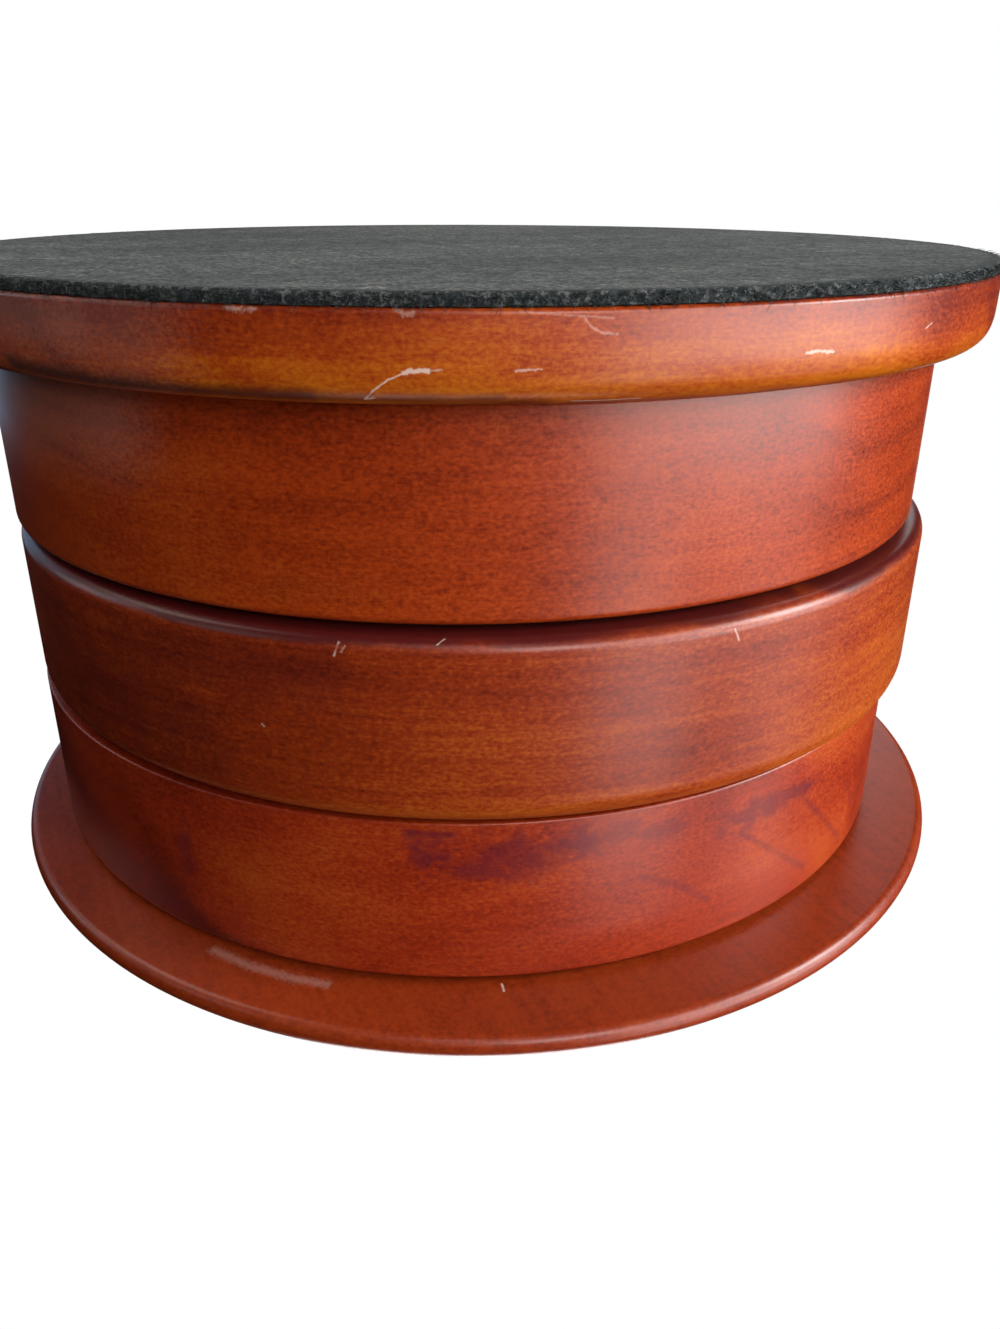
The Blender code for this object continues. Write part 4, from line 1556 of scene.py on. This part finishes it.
@dataclass
class Studio:
    """The lamps, the floor and the white surroundings.

    Attributes:
        setting: Where the box is.
        camera: The photograph's camera.
        fill: Strength of the light that comes from all round.
        cloth_radius: Distance of the dark cloths from the box's middle.
        cloth_half_height: Half of their height.
        cloth_gap: The bearings in degrees between which there are none.
        lamps: The softboxes.
    """

    setting: Setting
    camera: PhotoCamera
    fill: float = 0.015
    cloth_radius: float = 3.5
    cloth_half_height: float = 3.2
    cloth_gap: Point2 = (150.0, 178.0)
    lamps: tuple[Softbox, ...] = (
        Softbox("high_window_far", 80.0, 25.0, 1.4, 0.5, 20.0),
        Softbox("high_window_middle", 50.0, 25.0, 1.4, 0.5, 6.0),
        Softbox("high_window_near", 20.0, 25.0, 1.4, 0.5, 7.0),
        Softbox("window_far", 80.0, 0.0, 1.4, 0.5, 4.6),
        Softbox("window_middle", 60.0, 0.0, 1.4, 0.5, 6.0),
        Softbox("window_near", 40.0, 0.0, 1.4, 0.5, 4.5),
        Softbox("low_window_far", 75.0, -25.0, 1.4, 0.5, 1.2),
        Softbox("low_window_near", 40.0, -25.0, 1.4, 0.5, 2.7),
        Softbox("front", 0.0, 50.0, 1.4, 0.5, 1.5),
        Softbox("left", -60.0, 25.0, 1.4, 0.5, 0.8),
        Softbox("far_left", -100.0, 20.0, 1.4, 0.5, 1.4, (0.80, 0.90, 1.0)),
        Softbox("cool_side", -137.0, 5.0, 1.4, 0.7, 1.3, (0.42, 0.70, 1.0)),
        Softbox("left_high", -104.0, 52.0, 1.4, 0.7, 4.4, (1.0, 0.86, 0.76)),
        Softbox("back", 172.0, -8.0, 1.5, 0.9, 12.0),
        Softbox("overhead", 180.0, -84.0, 1.6, 0.9, 16.0),
    )

    def build(self) -> None:
        """Add the lamps, the floor, the dark cloths and the world."""
        for lamp in self.lamps:
            self.add_lamp(lamp)
        self.add_floor()
        self.add_cloths()
        self.add_world()
        view = bpy.context.scene.view_settings
        view.view_transform = "Standard"

    def direction(self, bearing: float, rise: float) -> Vector:
        """Return a direction as the photograph shows it, in the box's frame.

        Args:
            bearing: Degrees to the right of the camera.
            rise: Degrees above the level, with the box upside down.

        Returns:
            The unit vector from the box.
        """
        right, _, ahead = self.camera.axes()
        toward = Vector((-ahead.x, -ahead.y, 0.0)).normalized()
        level = Vector((right.x, right.y, 0.0)).normalized()
        turn = math.radians(bearing)
        lift = math.radians(rise)
        plan = toward * math.cos(turn) + level * math.sin(turn)
        return plan * math.cos(lift) - Vector((0.0, 0.0, 1.0)) * math.sin(lift)

    def add_lamp(self, lamp: Softbox) -> None:
        """Add one softbox, aimed at the box's middle."""
        direction = self.direction(lamp.bearing, lamp.rise)
        middle = Vector((0.0, 0.0, self.setting.top / 2))
        data = bpy.data.lights.new(lamp.name, "AREA")
        data.shape = "SQUARE"
        data.size = lamp.side
        data.energy = lamp.power
        data.color = lamp.colour
        light = bpy.data.objects.new(lamp.name, data)
        light.location = middle + direction * lamp.distance
        light.rotation_euler = direction.to_track_quat("Z", "Y").to_euler()
        bpy.context.scene.collection.objects.link(light)

    def add_floor(self) -> None:
        """Add the floor, which only a camera above it sees and which pales to white far off."""
        half = 4.0
        drop = -0.3 * MM
        floor = object_of("floor", [(-half, -half, drop), (half, -half, drop),
                                    (half, half, drop), (-half, half, drop)], [(0, 1, 2, 3)])
        graph = Graph("pale_floor")
        place = graph.place()
        tone = graph.cloud(place, (3.0, 3.0, 3.0), 2.0, 0.5)
        colour = graph.blend(tone, (0.80, 0.80, 0.79), (0.84, 0.84, 0.83))
        matt = graph.node("ShaderNodeBsdfDiffuse", {}, {"Color": colour})
        clear = graph.node("ShaderNodeBsdfTransparent", {})
        seen = graph.node("ShaderNodeLightPath", {}, output="Is Camera Ray")
        behind = graph.node("ShaderNodeNewGeometry", {}, output="Backfacing")
        white = graph.node("ShaderNodeEmission", {}, {"Color": (1.0, 1.0, 1.0, 1.0),
                                                      "Strength": 1.0})
        out = graph.vector("LENGTH", place, output="Value")
        paled = graph.node("ShaderNodeMixShader", {}, (out.step(0.25, 1.0), matt, white))
        shown = seen * (1.0 - behind)
        mixed = graph.node("ShaderNodeMixShader", {}, (shown, clear, paled))
        graph.node("ShaderNodeOutputMaterial", {}, {"Surface": mixed})
        floor.data.materials.append(graph.material)

    def add_cloths(self) -> None:
        """Hang dark cloths far round the box, which only its gloss shows.

        Without them the varnish would mirror the white surroundings and look grey. They stop
        behind the box on the photograph's right, where its edge has a bright rim. Sharp
        reflections pass them, so that the mirror shows the white surroundings.
        """
        low, high = self.cloth_gap
        steps = 64
        corners: list[Vector] = []
        faces: list[tuple[int, ...]] = []
        for step in range(steps + 1):
            bearing = high + (360.0 + low - high) * step / steps
            plan = self.direction(bearing, 0.0) * self.cloth_radius
            for height in (-self.cloth_half_height, self.cloth_half_height):
                corners.append(plan + Vector((0.0, 0.0, height)))
        for step in range(steps):
            faces.append((2 * step, 2 * step + 1, 2 * step + 3, 2 * step + 2))
        for end in (0, 1):
            faces.append(tuple(2 * step + end for step in range(steps + 1)))
        cloths = object_of("dark_cloths", corners, faces)
        graph = Graph("dark_cloth")
        weave = graph.cloud(graph.place(), (40.0, 40.0, 40.0), 2.0, 0.5)
        shade = graph.blend(weave, (0.010, 0.010, 0.010), (0.020, 0.020, 0.020))
        matt = graph.node("ShaderNodeBsdfDiffuse", {}, {"Color": shade})
        clear = graph.node("ShaderNodeBsdfTransparent", {})
        sharp = graph.node("ShaderNodeLightPath", {}, output="Is Singular Ray")
        mixed = graph.node("ShaderNodeMixShader", {}, (sharp, matt, clear))
        graph.node("ShaderNodeOutputMaterial", {}, {"Surface": mixed})
        cloths.data.materials.append(graph.material)
        for ray in ("camera", "diffuse", "transmission", "shadow", "volume_scatter"):
            setattr(cloths, f"visible_{ray}", False)

    def add_world(self) -> None:
        """Add white surroundings that light the box softly."""
        world = bpy.data.worlds.new("surroundings")
        bpy.context.scene.world = world
        graph = Graph("surroundings", world)
        path = graph.node("ShaderNodeLightPath", {})
        sockets = path.socket.node.outputs
        rays = ("Is Camera Ray", "Is Glossy Ray", "Is Transmission Ray")
        camera, glossy, through = (Value(graph, sockets[ray]) for ray in rays)
        direct = camera.largest(glossy).largest(through)
        strength = direct * (1.0 - self.fill) + self.fill
        shade = graph.node("ShaderNodeBackground", {},
                           {"Color": (1.0, 1.0, 1.0, 1.0), "Strength": strength})
        graph.node("ShaderNodeOutputWorld", {}, {"Surface": shade})


def build_trays(setting: Setting, camera: PhotoCamera, finishes: Finishes) -> None:
    """Make the three trays with what lies in them."""
    right = camera.to_box(Vector((1.0, 0.0, 0.0)), False)

    def across(fade: float) -> Point3:
        """Return painted light and shade: a change of tone from the camera's left to its right."""
        return tuple(right * fade)

    # Painted sheen: the lower tray's tone is lighter towards the camera's left.
    lower = Tray(setting, "lower", Body.BASE, 0.6 * MM, 1.5 * MM, 4.3 * MM,
                 StainedWood("lower_tray_wood", seed=1.0, blotch=0.7, patches=0.1,
                             streaks=0.30, figure=0.10, fade=across(-0.7)))
    # Painted light: the middle tray's tone is lighter towards the camera's right. Its dark plum
    # band by the lower tray is a painted shadow, and its raised tone at the top edge is painted
    # light.
    middle = Tray(setting, "middle", Body.MIDDLE, 2.5 * MM, 5.0 * MM, 5.8 * MM,
                  StainedWood("middle_tray_wood", deep=(0.084, 0.0060, 0.0016),
                              main=(0.218, 0.0230, 0.0029), thin=(0.370, 0.076, 0.006),
                              plum=(0.050, 0.0035, 0.0050),
                              seed=8.0, blotch=0.6, patches=0.15, streaks=0.50,
                              figure=0.12, fade=across(1.1),
                              painted_shade_bands=((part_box("middle_tray_wall")[0].z, 1.6 * MM),),
                              painted_light_bands=((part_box("middle_tray_wall")[1].z, 7.0 * MM),)))
    # Painted light: the upper tray's tone is lighter towards the camera's right.
    upper = Tray(setting, "upper", Body.UPPER, 0.5 * MM, 1.0 * MM, 5.8 * MM,
                 StainedWood("upper_tray_wood", deep=(0.088, 0.0050, 0.0016),
                             main=(0.236, 0.0190, 0.0031), thin=(0.364, 0.060, 0.0068),
                             plum=(0.085, 0.0062, 0.0130),
                             seed=13.0, blotch=1.3, patches=0.0, streaks=0.25,
                             figure=0.25, lean=(0.45, 0.25, 0.70), fade=across(1.2)))
    marks = {"lower": LOWER_PAINTED_SHEEN, "middle": MIDDLE_MARKS}
    stains_and_shade = {"middle": MIDDLE_STAINS, "upper": UPPER_STAINS_AND_SHADE}
    for tray in (lower, middle, upper):
        wall = tray.build_wall()
        tray.dress_wall(wall, laid(marks.get(tray.name, ()), camera, wall),
                        laid(stains_and_shade.get(tray.name, ()), camera, wall))
        tray.build_lining(finishes)
    Board("middle_cross_board", "middle_cross_divider", middle).build(finishes, False)
    Board("middle_front_board", "middle_front_divider", middle).build(finishes, False)
    Board("upper_cross_board", "upper_cross_divider", upper).build(finishes, False)
    for number in range(1, 7):
        node = f"ring_roll_{number}"
        Board(node + "_padded", node, upper).build(finishes, True)


def main() -> None:
    """Load the frame and build the looks round it."""
    logging.basicConfig(level=logging.INFO, format="%(message)s")
    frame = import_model()
    setting = Setting.read(frame)
    camera = PhotoCamera(setting)
    camera.make()
    finishes = Finishes()
    plinth = Plinth(setting)
    plinth.dress(plinth.build(), camera)
    FeltBase(setting).build(finishes)
    build_trays(setting, camera, finishes)
    lid = Lid(setting)
    lid.dress(lid.build(), camera, finishes)
    Hardware(setting).build(finishes)
    Studio(setting, camera).build()
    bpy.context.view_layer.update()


if __name__ == "__main__":
    main()
